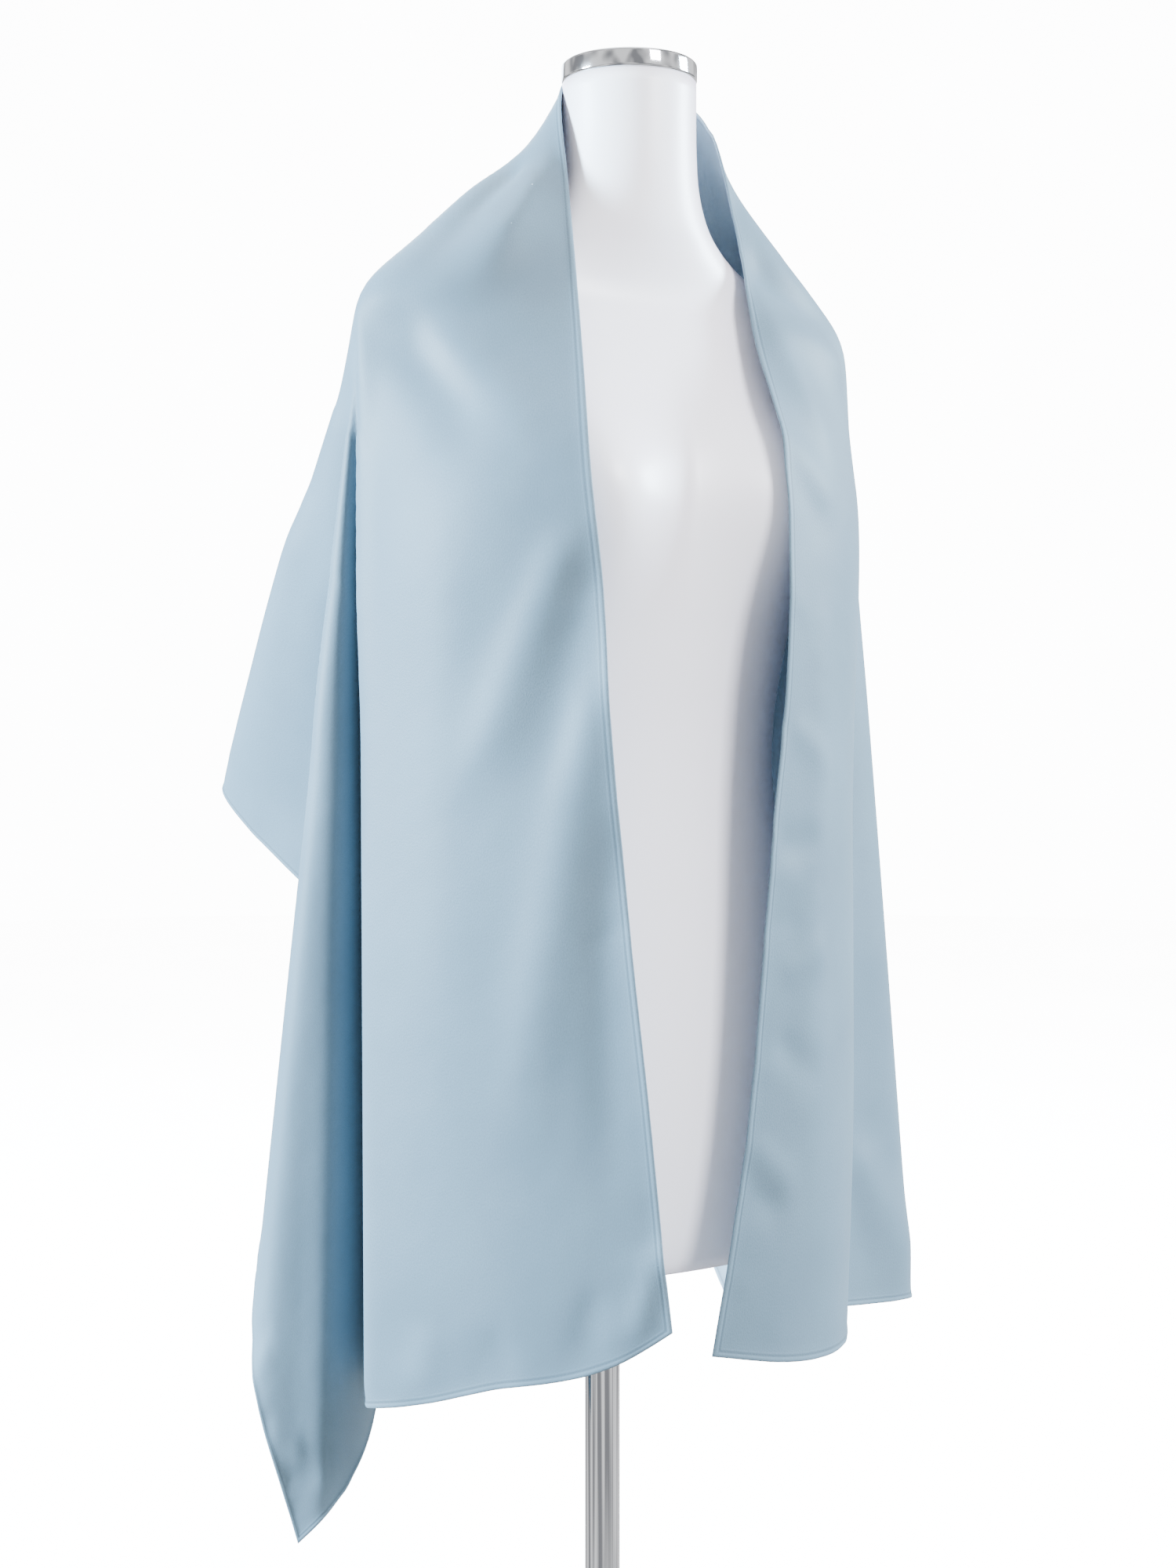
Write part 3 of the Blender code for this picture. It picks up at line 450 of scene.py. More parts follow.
class Side:
    """One half of the stole: its front edge, its folds and the places of its flat points."""

    def __init__(self, tip, edge, folds, bulges, hem):
        self.flat = tip
        self.tip = np.array((tip.x, tip.y, tip.z))
        self.sign = 1 if tip.x > 0 else -1
        self.angles = [fold.flat for fold in folds]
        self.outs = [fold.out for fold in folds]
        self.backs = [fold.back for fold in folds]
        self.bulges = np.array(bulges)
        self.hem = np.array(hem)
        self.fold_slope = (tip.fold_across_at_hem - tip.across) / (HALF - tip.along)
        self.fold_angle = degrees(atan(self.fold_slope))
        numbers = np.arange(len(edge))
        self.edge = through(numbers, np.array(edge), np.linspace(0, numbers[-1], 1200))
        steps = np.linalg.norm(np.diff(self.edge, axis=0), axis=1)
        self.lengths = np.concatenate(([0.0], np.cumsum(steps)))

    def front_edge(self, along):
        length = along * self.lengths[-1] / HALF
        return np.stack([np.interp(length, self.lengths, axis) for axis in self.edge.T], -1)

    def hanging(self, along, across):
        """A point behind the front fold, on its line from the shoulder tip."""
        dx, dy = along - self.flat.along, across - self.flat.across
        angle = np.maximum(np.degrees(np.arctan2(dy, dx)) - self.fold_angle, 0.0)
        reach = np.hypot(dx, dy)
        spread = np.minimum(np.degrees(FOLD_ROUNDING / np.maximum(reach, 1.0)), WIDEST_ROUNDING)
        out, back = np.zeros_like(reach), np.zeros_like(reach)
        for step in ROUNDING_STEPS:
            place = np.clip(angle + step * spread, 0.0, self.angles[-1])
            out += through(self.angles, self.outs, place) / len(ROUNDING_STEPS)
            back += through(self.angles, self.backs, place) / len(ROUNDING_STEPS)
        x, y = self.sign * np.sin(np.radians(out)), np.sin(np.radians(back))
        down = -np.sqrt(np.maximum(1 - x * x - y * y, 0.0))
        return self.tip + np.stack((x, y, down), -1) * reach[..., None]

    def fold_across(self, along):
        return self.flat.across + (along - self.flat.along) * self.fold_slope

    def panel(self, along, across):
        """A point of the front panel, between its free edge and the front fold."""
        fold_across = self.fold_across(along)
        part = across / fold_across
        edge = self.front_edge(along)
        chord = self.hanging(along, fold_across) - edge
        outward = unit(np.stack((chord[..., 1], -chord[..., 0], np.zeros_like(part)), -1))
        outward = np.where(outward[..., 1:2] > 0, -outward, outward)
        depth = through(self.bulges[:, 0], self.bulges[:, 1], along)
        lift = SHOULDER_RISE * np.maximum(0.0, 1 - (along - self.flat.along) / SHOULDER_RISE_LENGTH)
        drop = through(self.hem[:, 0], self.hem[:, 1], np.clip(part, 0, 1))
        sway = drop * np.maximum(0.0, 1 - (HALF - along) / HEM_SWAY_HEIGHT) ** 2
        wave = np.sin(pi * part)
        place = edge + chord * part[..., None] + outward * (depth * wave)[..., None]
        place[..., 2] += lift * wave - sway
        return place

    def column(self, along, part):
        """How far across a column of the grid lies. Below the tip the columns follow the folds."""
        plain = STOLE_WIDTH * part
        tuck_slope = tan(radians(self.fold_angle + self.flat.tuck_angle))
        tuck = self.flat.across + (along - self.flat.along) * tuck_slope
        keys = (0.0, PANEL_COLUMNS / COLUMNS, (PANEL_COLUMNS + TUCK_COLUMNS) / COLUMNS, 1.0)
        led = np.interp(part, keys, (0.0, self.fold_across(along), tuck, STOLE_WIDTH))
        blend = min(max((along - self.flat.along) / COLUMN_BLEND, 0.0), 1.0)
        return plain + (led - plain) * blend * blend * (3 - 2 * blend)

    def place(self, along, across):
        """The place of any point at least as far along as the shoulder tip."""
        along, across = np.broadcast_arrays(np.asarray(along, float), across)
        on_panel = (across <= self.fold_across(along))[..., None]
        return np.where(on_panel, self.panel(along, across), self.hanging(along, across))


def flat_grid(right, left):
    """Along and across of every point of the grid, inside the hems."""
    along = np.linspace(-HALF + HEM_REACH, HALF - HEM_REACH, ROWS + 1)
    parts = np.linspace(0, 1, COLUMNS + 1)
    shrink = 1 - 2 * HEM_REACH / STOLE_WIDTH
    across = np.array([(right if a < 0 else left).column(abs(a), parts) for a in along])
    return along, HEM_REACH + across * shrink


def draped(along, across, right, left):
    """Every point of the grid in its place on the form."""
    start, end = -right.flat.along, left.flat.along
    on_right, on_left = along <= start, along >= end
    between = ~(on_right | on_left)
    grid = np.empty((*across.shape, 3))
    grid[on_right] = right.place(-along[on_right][:, None], across[on_right])
    grid[on_left] = left.place(along[on_left][:, None], across[on_left])
    line = across[between][0]
    keys = [start - SECTION_STEP, start, *sorted(BACK_SECTIONS), end, end + SECTION_STEP]
    posts = [right.place(-key, line) for key in keys[:2]]
    for key in keys[2:-2]:
        rows = np.array(BACK_SECTIONS[key])
        posts.append(through(rows[:, 0], rows[:, 1:], line))
    posts += [left.place(key, line) for key in keys[-2:]]
    grid[between] = through(keys, np.array(posts), along[between])
    return grid


def softened(grid, passes=1):
    """The grid with each point drawn towards its neighbours, edges along themselves."""
    for _ in range(passes):
        result = grid.copy()
        near = grid[:-2, 1:-1] + grid[2:, 1:-1] + grid[1:-1, :-2] + grid[1:-1, 2:]
        result[1:-1, 1:-1] += (near / 4 - grid[1:-1, 1:-1]) * INNER_PULL
        for line in (0, -1):
            result[1:-1, line] += ((grid[:-2, line] + grid[2:, line]) / 2 - grid[1:-1, line]) * EDGE_PULL
            result[line, 1:-1] += ((grid[line, :-2] + grid[line, 2:]) / 2 - grid[line, 1:-1]) * EDGE_PULL
        grid = result
    return grid


def normals_of(grid):
    """Outward normals, away from the body."""
    along = np.gradient(grid, axis=0)
    across = np.gradient(grid, axis=1)
    return unit(np.cross(along, across))


def bumps(place, start, middle, end, width, height):
    """Height of one crease at each flat place: it swells from its start and dies away at its end."""
    t = np.linspace(0, 1, CREASE_STEPS)[:, None]
    line = start * (1 - t) ** 2 + 2 * middle * t * (1 - t) + end * t**2
    reach = 3 * width
    inside = ((place > line.min(0) - reach) & (place < line.max(0) + reach)).all(-1)
    result = np.zeros(place.shape[:2])
    away = np.linalg.norm(place[inside][:, None] - line, axis=-1)
    nearest = away.argmin(1)
    at = t[nearest, 0]
    fade = np.minimum(at / CREASE_START, 1) * np.minimum((1 - at) / CREASE_END, 1)
    spread = width * (0.7 + 0.6 * at)
    result[inside] = height * np.exp(-((away.min(1) / spread) ** 2)) * fade * fade * (3 - 2 * fade)
    return result


def creased(grid, along, across):
    """The grid with its listed creases and hem puckers raised or sunk along its normals."""
    place = np.stack(np.broadcast_arrays(along[:, None], across), -1)
    height = np.zeros(across.shape)
    for crease in CREASES:
        start, middle, end = np.array(crease[1:7]).reshape(3, 2)
        height += bumps(place, start, middle, end, crease.width, crease.height)
    for row in PUCKERS:
        lengthwise = row.edge in ("neck edge", "outer edge")
        last = HALF if lengthwise else STOLE_WIDTH
        low = {"neck edge": 0.0, "outer edge": STOLE_WIDTH, "right end": -HALF, "left end": HALF}[row.edge]
        inward = 1 if row.edge in ("neck edge", "right end") else -1
        at, turn = row.first, 1
        while at < last - 2:
            size = 1 + PUCKER_SWAY * sin(at * 3.7)
            ends = [(at + PUCKER_SWAY * turn * k, low + inward * row.reach * size * k / 2) for k in (-0.6, 1, 2)]
            ends = np.array(ends) if lengthwise else np.array(ends)[:, ::-1]
            height += bumps(place, *ends, row.width * size, row.height * turn * size)
            at, turn = at + row.step * (1 + PUCKER_SWAY * sin(at * 2.3)), -turn
    return grid + normals_of(grid) * height[..., None]


def settled(grid, depth, tree):
    """The grid moved off the form wherever the cloth's inner face would come nearer than the gap."""
    near = None
    for turn in range(SETTLING_PASSES):
        inner = grid - normals_of(grid) * depth
        if near is None:
            near = [
                (i, j)
                for i in range(grid.shape[0])
                for j in range(grid.shape[1])
                if tree.find_nearest(inner[i, j])[3] < NEAR_FORM
            ]
        pushed = False
        for i, j in near:
            place, normal, _index, away = tree.find_nearest(inner[i, j])
            outside = (Vector(inner[i, j]) - place).dot(normal) > 0
            short = REST_GAP - (away if outside else -away)
            if short > 0:
                grid[i, j] += np.array(normal) * short
                pushed = True
        if not pushed:
            break
        if turn < SETTLING_PASSES / 2:
            smooth = softened(grid, 2)
            for i, j in near:
                grid[i, j] = smooth[i, j]
    return grid


def with_hems(grid, along, across):
    """The grid, flat places and half thicknesses with the rows and columns of the hems added."""
    rows, columns = grid.shape[:2]
    flat = np.stack(np.broadcast_arrays(along[:, None], across), -1)
    both = np.concatenate((grid, flat), -1)

    def stretched(block):
        """Rows of the block carried on past both ends to the edge of the cloth."""
        low, high = [], []
        for row in HEM_ROWS:
            reach = HEM_REACH - row.inward
            for rim, first, second in ((low, 0, 1), (high, -1, -2)):
                step = block[first] - block[second]
                size = np.linalg.norm(step[..., 3:], axis=-1, keepdims=True)
                rim.append(block[first] + step * (reach / size))
        return np.concatenate((low, block, high[::-1]))

    both = stretched(both)
    both = stretched(both.swapaxes(0, 1)).swapaxes(0, 1)
    flat = both[..., 3:]
    inward = np.minimum(HALF - np.abs(flat[..., 0]), np.minimum(flat[..., 1], STOLE_WIDTH - flat[..., 1]))
    keys = [row.inward for row in HEM_ROWS] + [HEM_REACH]
    cloth = bpy.context.scene.stole_sizes.thickness / CM / 2
    half = np.interp(inward, keys, [row.half for row in HEM_ROWS] + [cloth])
    return both[..., :3], flat, half


def wall_mesh(name, outer, inner, flat):
    """A closed thin wall between two grids, with the flat cut as its UV map in metres."""
    rows, columns = outer.shape[:2]
    count = rows * columns
    numbers = np.arange(count).reshape(rows, columns)
    a, b = numbers[:-1, :-1].ravel(), numbers[1:, :-1].ravel()
    c, d = numbers[1:, 1:].ravel(), numbers[:-1, 1:].ravel()
    outside = np.stack((a, b, c, d), 1)
    inside = outside[:, ::-1] + count
    rim = np.concatenate((numbers[:, 0], numbers[-1, 1:], numbers[-2::-1, -1], numbers[0, -2:0:-1]))
    turn = np.roll(rim, -1)
    sides = np.stack((turn, rim, rim + count, turn + count), 1)
    faces = np.concatenate((outside, inside, sides))
    mesh = bpy.data.meshes.new(name)
    vertices = np.concatenate((outer.reshape(-1, 3), inner.reshape(-1, 3))) * CM
    mesh.from_pydata(vertices.tolist(), [], faces.tolist())
    mesh.polygons.foreach_set("material_index", np.repeat((0, 1, 0), (len(outside), len(inside), len(sides))))
    mesh.polygons.foreach_set("use_smooth", np.ones(len(faces), bool))
    places = np.tile(flat.reshape(-1, 2) * CM, (2, 1))
    mesh.uv_layers.new(name="flat cut").data.foreach_set("uv", places[faces.ravel()].ravel())
    mesh.update()
    return mesh


def add_piece(name, mesh, slot, *nodes):
    """A finished piece at the origin, riding on the body in place of its solids."""
    piece = bpy.data.objects.new(name, mesh)
    bpy.context.scene.collection.objects.link(piece)
    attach(piece, BODY)
    if nodes:
        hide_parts(*nodes)
    return piece


def form_rings():
    """Outlines of the dress form from its lower rim to the neck, with a rounded rim."""
    numbers = np.arange(len(FORM_LEVELS))
    levels = through(numbers, np.array(FORM_LEVELS), np.linspace(0, numbers[-1], numbers[-1] * FORM_STEPS + 1))
    angles = np.linspace(0, 2 * pi, FORM_SEGMENTS, endpoint=False)
    cx, cy = np.cos(angles), np.sin(angles)
    rings = []
    for z, half, front, back, square in levels:
        reach = (np.abs(cx) ** square + np.abs(cy) ** square) ** (-1 / square)
        x = (half - FORM_SHRINK) * reach * cx
        y = (front + back) / 2 + ((back - front) / 2 - FORM_SHRINK) * reach * cy
        side, lift = np.abs(x) - BREAST_X, z - BREAST_Z
        bump = np.exp(-((side / BREAST_WIDTH) ** 2) - (lift / BREAST_HEIGHT) ** 2)
        y = y - np.where(cy < 0, BREAST_DEPTH * bump * -cy, 0)
        rings.append(np.stack((x, y, np.full_like(x, z)), -1))
    rings = np.array(rings)
    low = rings[0]
    centre = low.mean(0)
    rim = []
    for turn in (0.0, 22.5, 45.0, 67.5):
        inset = FORM_RIM * (1 - sin(radians(turn)))
        ring = low + unit((centre - low) * (1, 1, 0)) * inset
        ring[:, 2] += FORM_RIM * (1 - cos(radians(turn)))
        rim.append(ring)
    return np.concatenate((rim, rings[rings[:, 0, 2] > low[0, 2] + FORM_RIM]))


def lathe_rings(profile, segments, centre_y=0.0):
    """Rings of a round piece from (radius, z) pairs."""
    angles = np.linspace(0, 2 * pi, segments, endpoint=False)
    return np.array(
        [
            np.stack((r * np.cos(angles), centre_y + r * np.sin(angles), np.full_like(angles, z)), -1)
            for r, z in profile
        ]
    )


def lofted_mesh(name, rings):
    """A closed smooth mesh through rings, with flat ends."""
    rows, count = rings.shape[:2]
    vertices = rings.reshape(-1, 3).tolist()
    faces = []
    for row in range(rows - 1):
        for i in range(count):
            j = (i + 1) % count
            low, high = row * count, (row + 1) * count
            faces.append((low + i, low + j, high + j, high + i))
    for row, turned_up in ((0, False), (rows - 1, True)):
        middle = len(vertices)
        vertices.append(rings[row].mean(0).tolist())
        for i in range(count):
            a, b = row * count + i, row * count + (i + 1) % count
            faces.append((middle, a, b) if turned_up else (middle, b, a))
    mesh = bpy.data.meshes.new(name)
    mesh.from_pydata((np.array(vertices) * CM).tolist(), [], faces)
    mesh.polygons.foreach_set("use_smooth", np.ones(len(faces), bool))
    mesh.update()
    return mesh


def rounded_profile(radius, low, high, edge, cuts=6):
    """Profile of a disc or rod with both rims rounded."""
    profile = []
    for i in range(cuts + 1):
        angle = pi / 2 * i / cuts
        profile.append((radius - edge * (1 - sin(angle)), low + edge * (1 - cos(angle))))
    for i in range(cuts + 1):
        angle = pi / 2 * i / cuts
        profile.append((radius - edge * (1 - cos(angle)), high - edge * (1 - sin(angle))))
    return profile


def linear(hex_colour):
    """An sRGB hex colour as linear red, green, blue and alpha."""
    parts = [int(hex_colour[i : i + 2], 16) / 255 for i in (1, 3, 5)]
    return (*[p / 12.92 if p <= 0.04045 else ((p + 0.055) / 1.055) ** 2.4 for p in parts], 1.0)


def add_node(tree, kind, links=None, **settings):
    """A node with its settings and incoming links. Keys are socket names or numbers."""
    node = tree.nodes.new(kind)
    inputs = settings.pop("inputs", {})
    for name, value in settings.items():
        setattr(node, name, value)
    for key, value in inputs.items():
        node.inputs[key].default_value = value
    for key, source in (links or {}).items():
        tree.links.new(source, node.inputs[key])
    return node


def new_material(name):
    material = bpy.data.materials.new(name)
    material.use_nodes = True
    tree = material.node_tree
    tree.nodes.clear()
    return material, tree


def satin_material(name, light, dark, roughness, sheen):
    """Woven polyester satin with a fine crepe-like grain.

    Long floats of filament lie along the cloth, so it shines softly and streaks a little that way.
    The threads are 0.12 mm apart. The grain is drawn at about 1 mm, as coarse as it needs to show.
    """
    material, tree = new_material(name)
    flat = add_node(tree, "ShaderNodeUVMap", uv_map="flat cut")
    grain_place = add_node(
        tree,
        "ShaderNodeMapping",
        {"Vector": flat.outputs["UV"]},
        inputs={"Scale": (700.0, 1150.0, 1.0)},
    )
    grain = add_node(
        tree,
        "ShaderNodeTexNoise",
        {"Vector": grain_place.outputs["Vector"]},
        noise_dimensions="2D",
        inputs={"Scale": 1.0, "Detail": 2.0, "Roughness": 0.6},
    )
    cloud = add_node(
        tree,
        "ShaderNodeTexNoise",
        {"Vector": flat.outputs["UV"]},
        noise_dimensions="2D",
        inputs={"Scale": 9.0, "Detail": 3.0, "Roughness": 0.55},
    )
    mixed = add_node(
        tree,
        "ShaderNodeMath",
        {0: grain.outputs["Fac"], 1: cloud.outputs["Fac"]},
        operation="MULTIPLY_ADD",
        inputs={2: 0.25},
    )
    parts = add_node(tree, "ShaderNodeSeparateXYZ", {"Vector": flat.outputs["UV"]})
    middle = add_node(tree, "ShaderNodeMath", {0: parts.outputs["X"]}, operation="ABSOLUTE")
    from_end = add_node(
        tree, "ShaderNodeMath", {1: middle.outputs["Value"]}, operation="SUBTRACT", inputs={0: HALF * CM}
    )
    from_outer = add_node(
        tree, "ShaderNodeMath", {1: parts.outputs["Y"]}, operation="SUBTRACT", inputs={0: STOLE_WIDTH * CM}
    )
    from_sides = add_node(
        tree,
        "ShaderNodeMath",
        {0: parts.outputs["Y"], 1: from_outer.outputs["Value"]},
        operation="MINIMUM",
    )
    from_edge = add_node(
        tree,
        "ShaderNodeMath",
        {0: from_end.outputs["Value"], 1: from_sides.outputs["Value"]},
        operation="MINIMUM",
    )
    hem_part = add_node(
        tree,
        "ShaderNodeMapRange",
        {"Value": from_edge.outputs["Value"]},
        inputs={"From Max": HEM_PAINTED_LIGHT_REACH * CM},
    )
    # Painted highlight on the hem band and painted shade on its stitch line, by distance from the edge
    hem_painted_light_and_shade = add_node(tree, "ShaderNodeValToRGB", {"Fac": hem_part.outputs["Result"]})
    ramp = hem_painted_light_and_shade.color_ramp.elements
    for shade in HEM_PAINTED_LIGHT_AND_SHADE[2:]:
        ramp.new(shade.part)
    for stop, shade in zip(ramp, sorted(HEM_PAINTED_LIGHT_AND_SHADE)):
        stop.position = shade.part
        stop.color = (shade.level, shade.level, shade.level, 1.0)
    woven = add_node(
        tree,
        "ShaderNodeMix",
        {"Factor": mixed.outputs["Value"]},
        data_type="RGBA",
    )
    woven.inputs[6].default_value = linear(dark)
    woven.inputs[7].default_value = linear(light)
    # The painted hem highlight and shade are multiplied into the woven colour
    colour = add_node(
        tree,
        "ShaderNodeMix",
        {6: woven.outputs[2], 7: hem_painted_light_and_shade.outputs["Color"]},
        data_type="RGBA",
        blend_type="MULTIPLY",
        inputs={0: 1.0},
    )
    rough = add_node(
        tree,
        "ShaderNodeMapRange",
        {"Value": cloud.outputs["Fac"]},
        inputs={"From Min": 0.3, "From Max": 0.7, "To Min": roughness - 0.04, "To Max": roughness + 0.05},
    )
    slack = add_node(
        tree,
        "ShaderNodeBump",
        {"Height": cloud.outputs["Fac"]},
        inputs={"Strength": 0.25, "Distance": 0.004},
    )
    weave = add_node(
        tree,
        "ShaderNodeBump",
        {"Height": grain.outputs["Fac"], "Normal": slack.outputs["Normal"]},
        inputs={"Strength": 0.35, "Distance": 0.0003},
    )
    shader = add_node(
        tree,
        "ShaderNodeBsdfPrincipled",
        {
            "Base Color": colour.outputs[2],
            "Roughness": rough.outputs["Result"],
            "Normal": weave.outputs["Normal"],
        },
        inputs={"Sheen Weight": sheen, "Sheen Roughness": 0.4, "IOR": 1.48, "Specular IOR Level": 0.2},
    )
    add_node(tree, "ShaderNodeOutputMaterial", {"Surface": shader.outputs["BSDF"]})
    return material


def thread_material(colour):
    """Twisted polyester sewing thread, a little shinier than the cloth, with painted shade in the grooves of its
    twist as fine darker lines.
    """
    material, tree = new_material("polyester sewing thread")
    place = add_node(tree, "ShaderNodeTexCoord")
    twist = add_node(
        tree,
        "ShaderNodeTexWave",
        {"Vector": place.outputs["Object"]},
        bands_direction="DIAGONAL",
        inputs={"Scale": 900.0, "Distortion": 0.5},
    )
    # Painted shade: the troughs of the wave darken the thread's colour as shade in the grooves of its twist
    tone = add_node(
        tree,
        "ShaderNodeValToRGB",
        {"Fac": twist.outputs["Fac"]},
    )
    tone.color_ramp.elements[0].color = [c * 0.85 for c in linear(colour)[:3]] + [1.0]
    tone.color_ramp.elements[1].color = linear(colour)
    shader = add_node(
        tree,
        "ShaderNodeBsdfPrincipled",
        {"Base Color": tone.outputs["Color"]},
        inputs={"Roughness": 0.45, "IOR": 1.5},
    )
    add_node(tree, "ShaderNodeOutputMaterial", {"Surface": shader.outputs["BSDF"]})
    return material


def gloss_material(colour, shade):
    """Gloss-painted glass fibre moulding: a hard clear shine over a slightly uneven white coat, with painted
    shade where its surface turns away from the eye.
    """
    material, tree = new_material("gloss painted fibreglass")
    place = add_node(tree, "ShaderNodeTexCoord")
    cloud = add_node(
        tree,
        "ShaderNodeTexNoise",
        {"Vector": place.outputs["Object"]},
        inputs={"Scale": 6.0, "Detail": 2.0},
    )
    peel = add_node(
        tree,
        "ShaderNodeTexNoise",
        {"Vector": place.outputs["Object"]},
        inputs={"Scale": 180.0, "Detail": 1.0},
    )
    # Painted shade: towards the silhouette, where the surface faces away from the eye, the coat turns to the
    # shade colour
    edge = add_node(tree, "ShaderNodeLayerWeight", inputs={"Blend": 0.35})
    uneven = add_node(
        tree,
        "ShaderNodeMath",
        {0: cloud.outputs["Fac"], 2: edge.outputs["Facing"]},
        operation="MULTIPLY_ADD",
        inputs={1: 0.15},
    )
    tone = add_node(tree, "ShaderNodeValToRGB", {"Fac": uneven.outputs["Value"]})
    tone.color_ramp.elements[0].position = 0.2
    tone.color_ramp.elements[1].position = 0.95
    tone.color_ramp.elements[0].color = linear(colour)
    tone.color_ramp.elements[1].color = linear(shade)
    rough = add_node(
        tree,
        "ShaderNodeMapRange",
        {"Value": cloud.outputs["Fac"]},
        inputs={"To Min": 0.36, "To Max": 0.46},
    )
    bump = add_node(
        tree,
        "ShaderNodeBump",
        {"Height": peel.outputs["Fac"]},
        inputs={"Strength": 0.08, "Distance": 0.0004},
    )
    shader = add_node(
        tree,
        "ShaderNodeBsdfPrincipled",
        {
            "Base Color": tone.outputs["Color"],
            "Roughness": rough.outputs["Result"],
            "Normal": bump.outputs["Normal"],
        },
        inputs={"IOR": 1.5, "Coat Weight": 0.25, "Coat Roughness": 0.3},
    )
    add_node(tree, "ShaderNodeOutputMaterial", {"Surface": shader.outputs["BSDF"]})
    return material


def chrome_material(colour):
    """Chromium plate on polished steel: a mirror, with a faint haze from wiping."""
    material, tree = new_material("chrome plated steel")
    place = add_node(tree, "ShaderNodeTexCoord")
    haze = add_node(
        tree,
        "ShaderNodeTexNoise",
        {"Vector": place.outputs["Object"]},
        inputs={"Scale": 40.0, "Detail": 4.0},
    )
    rough = add_node(
        tree,
        "ShaderNodeMapRange",
        {"Value": haze.outputs["Fac"]},
        inputs={"To Min": 0.03, "To Max": 0.12},
    )
    shader = add_node(
        tree,
        "ShaderNodeBsdfPrincipled",
        {"Roughness": rough.outputs["Result"]},
        inputs={"Base Color": linear(colour), "Metallic": 1.0},
    )
    add_node(tree, "ShaderNodeOutputMaterial", {"Surface": shader.outputs["BSDF"]})
    return material


def glowing_paper_material(strength):
    """White background paper lit until it burns out, with a trace of its fibre."""
    material, tree = new_material("white studio paper")
    place = add_node(tree, "ShaderNodeTexCoord")
    fibre = add_node(
        tree,
        "ShaderNodeTexNoise",
        {"Vector": place.outputs["Object"]},
        inputs={"Scale": 2.0, "Detail": 2.0},
    )
    level = add_node(
        tree,
        "ShaderNodeMapRange",
        {"Value": fibre.outputs["Fac"]},
        inputs={"To Min": strength * 0.95, "To Max": strength * 1.05},
    )
    shader = add_node(
        tree,
        "ShaderNodeBsdfPrincipled",
        {"Emission Strength": level.outputs["Result"]},
        inputs={"Base Color": linear("#F6F6F7"), "Emission Color": linear("#FFFFFF"), "Roughness": 0.9},
    )
    add_node(tree, "ShaderNodeOutputMaterial", {"Surface": shader.outputs["BSDF"]})
    return material


def stitch_tree(material):
    """A tree that lays short stitches along a line of points, square to the cloth."""
    tree = bpy.data.node_groups.new("hem stitches", "GeometryNodeTree")
    sockets = tree.interface
    sockets.new_socket("Geometry", in_out="INPUT", socket_type="NodeSocketGeometry")
    for name, default in (("Spacing", 0.0026), ("Stitch Length", 0.0021), ("Thread Width", 0.0004)):
        socket = sockets.new_socket(name, in_out="INPUT", socket_type="NodeSocketFloat")
        socket.default_value = default
        socket.subtype = "DISTANCE"
    sockets.new_socket("Geometry", in_out="OUTPUT", socket_type="NodeSocketGeometry")
    given = add_node(tree, "NodeGroupInput")
    curve = add_node(tree, "GeometryNodeMeshToCurve", {"Mesh": given.outputs["Geometry"]})
    even = add_node(
        tree,
        "GeometryNodeResampleCurve",
        {"Curve": curve.outputs["Curve"], "Length": given.outputs["Spacing"]},
        mode="LENGTH",
    )
    ball = add_node(tree, "GeometryNodeMeshIcoSphere", inputs={"Radius": 0.5, "Subdivisions": 1})
    size = add_node(
        tree,
        "ShaderNodeCombineXYZ",
        {
            "X": given.outputs["Stitch Length"],
            "Y": given.outputs["Thread Width"],
            "Z": given.outputs["Thread Width"],
        },
    )
    facing = add_node(
        tree, "GeometryNodeInputNamedAttribute", data_type="FLOAT_VECTOR", inputs={"Name": "cloth_normal"}
    )
    tangent = add_node(tree, "GeometryNodeInputTangent")
    turn = add_node(
        tree,
        "FunctionNodeAxesToRotation",
        {0: facing.outputs["Attribute"], 1: tangent.outputs["Tangent"]},
        primary_axis="Z",
        secondary_axis="X",
    )
    laid = add_node(
        tree,
        "GeometryNodeInstanceOnPoints",
        {
            "Points": even.outputs["Curve"],
            "Instance": ball.outputs["Mesh"],
            "Rotation": turn.outputs["Rotation"],
            "Scale": size.outputs["Vector"],
        },
    )
    real = add_node(tree, "GeometryNodeRealizeInstances", {"Geometry": laid.outputs["Instances"]})
    smooth = add_node(tree, "GeometryNodeSetShadeSmooth", {"Geometry": real.outputs["Geometry"]})
    dressed = add_node(
        tree,
        "GeometryNodeSetMaterial",
        {"Geometry": smooth.outputs["Geometry"]},
        inputs={"Material": material},
    )
    add_node(tree, "NodeGroupOutput", {"Geometry": dressed.outputs["Geometry"]})
    return tree


def stitch_lines(grid, normals, half):
    """Points and normals of the stitch line, round the cloth on its outer and inner face."""
    r, c = STITCH_ROW, STITCH_ROW
    rows, columns = grid.shape[:2]
    ring = [(i, c) for i in range(r, rows - r)]
    ring += [(rows - 1 - r, j) for j in range(c + 1, columns - c)]
    ring += [(i, columns - 1 - c) for i in range(rows - 2 - r, r - 1, -1)]
    ring += [(r, j) for j in range(columns - 2 - c, c, -1)]
    index = tuple(np.array(ring).T)
    places, facing = grid[index], normals[index]
    lift = (half[index] - STITCH_SINK)[:, None]
    return [(places + facing * lift, facing), (places - facing * lift, -facing)]


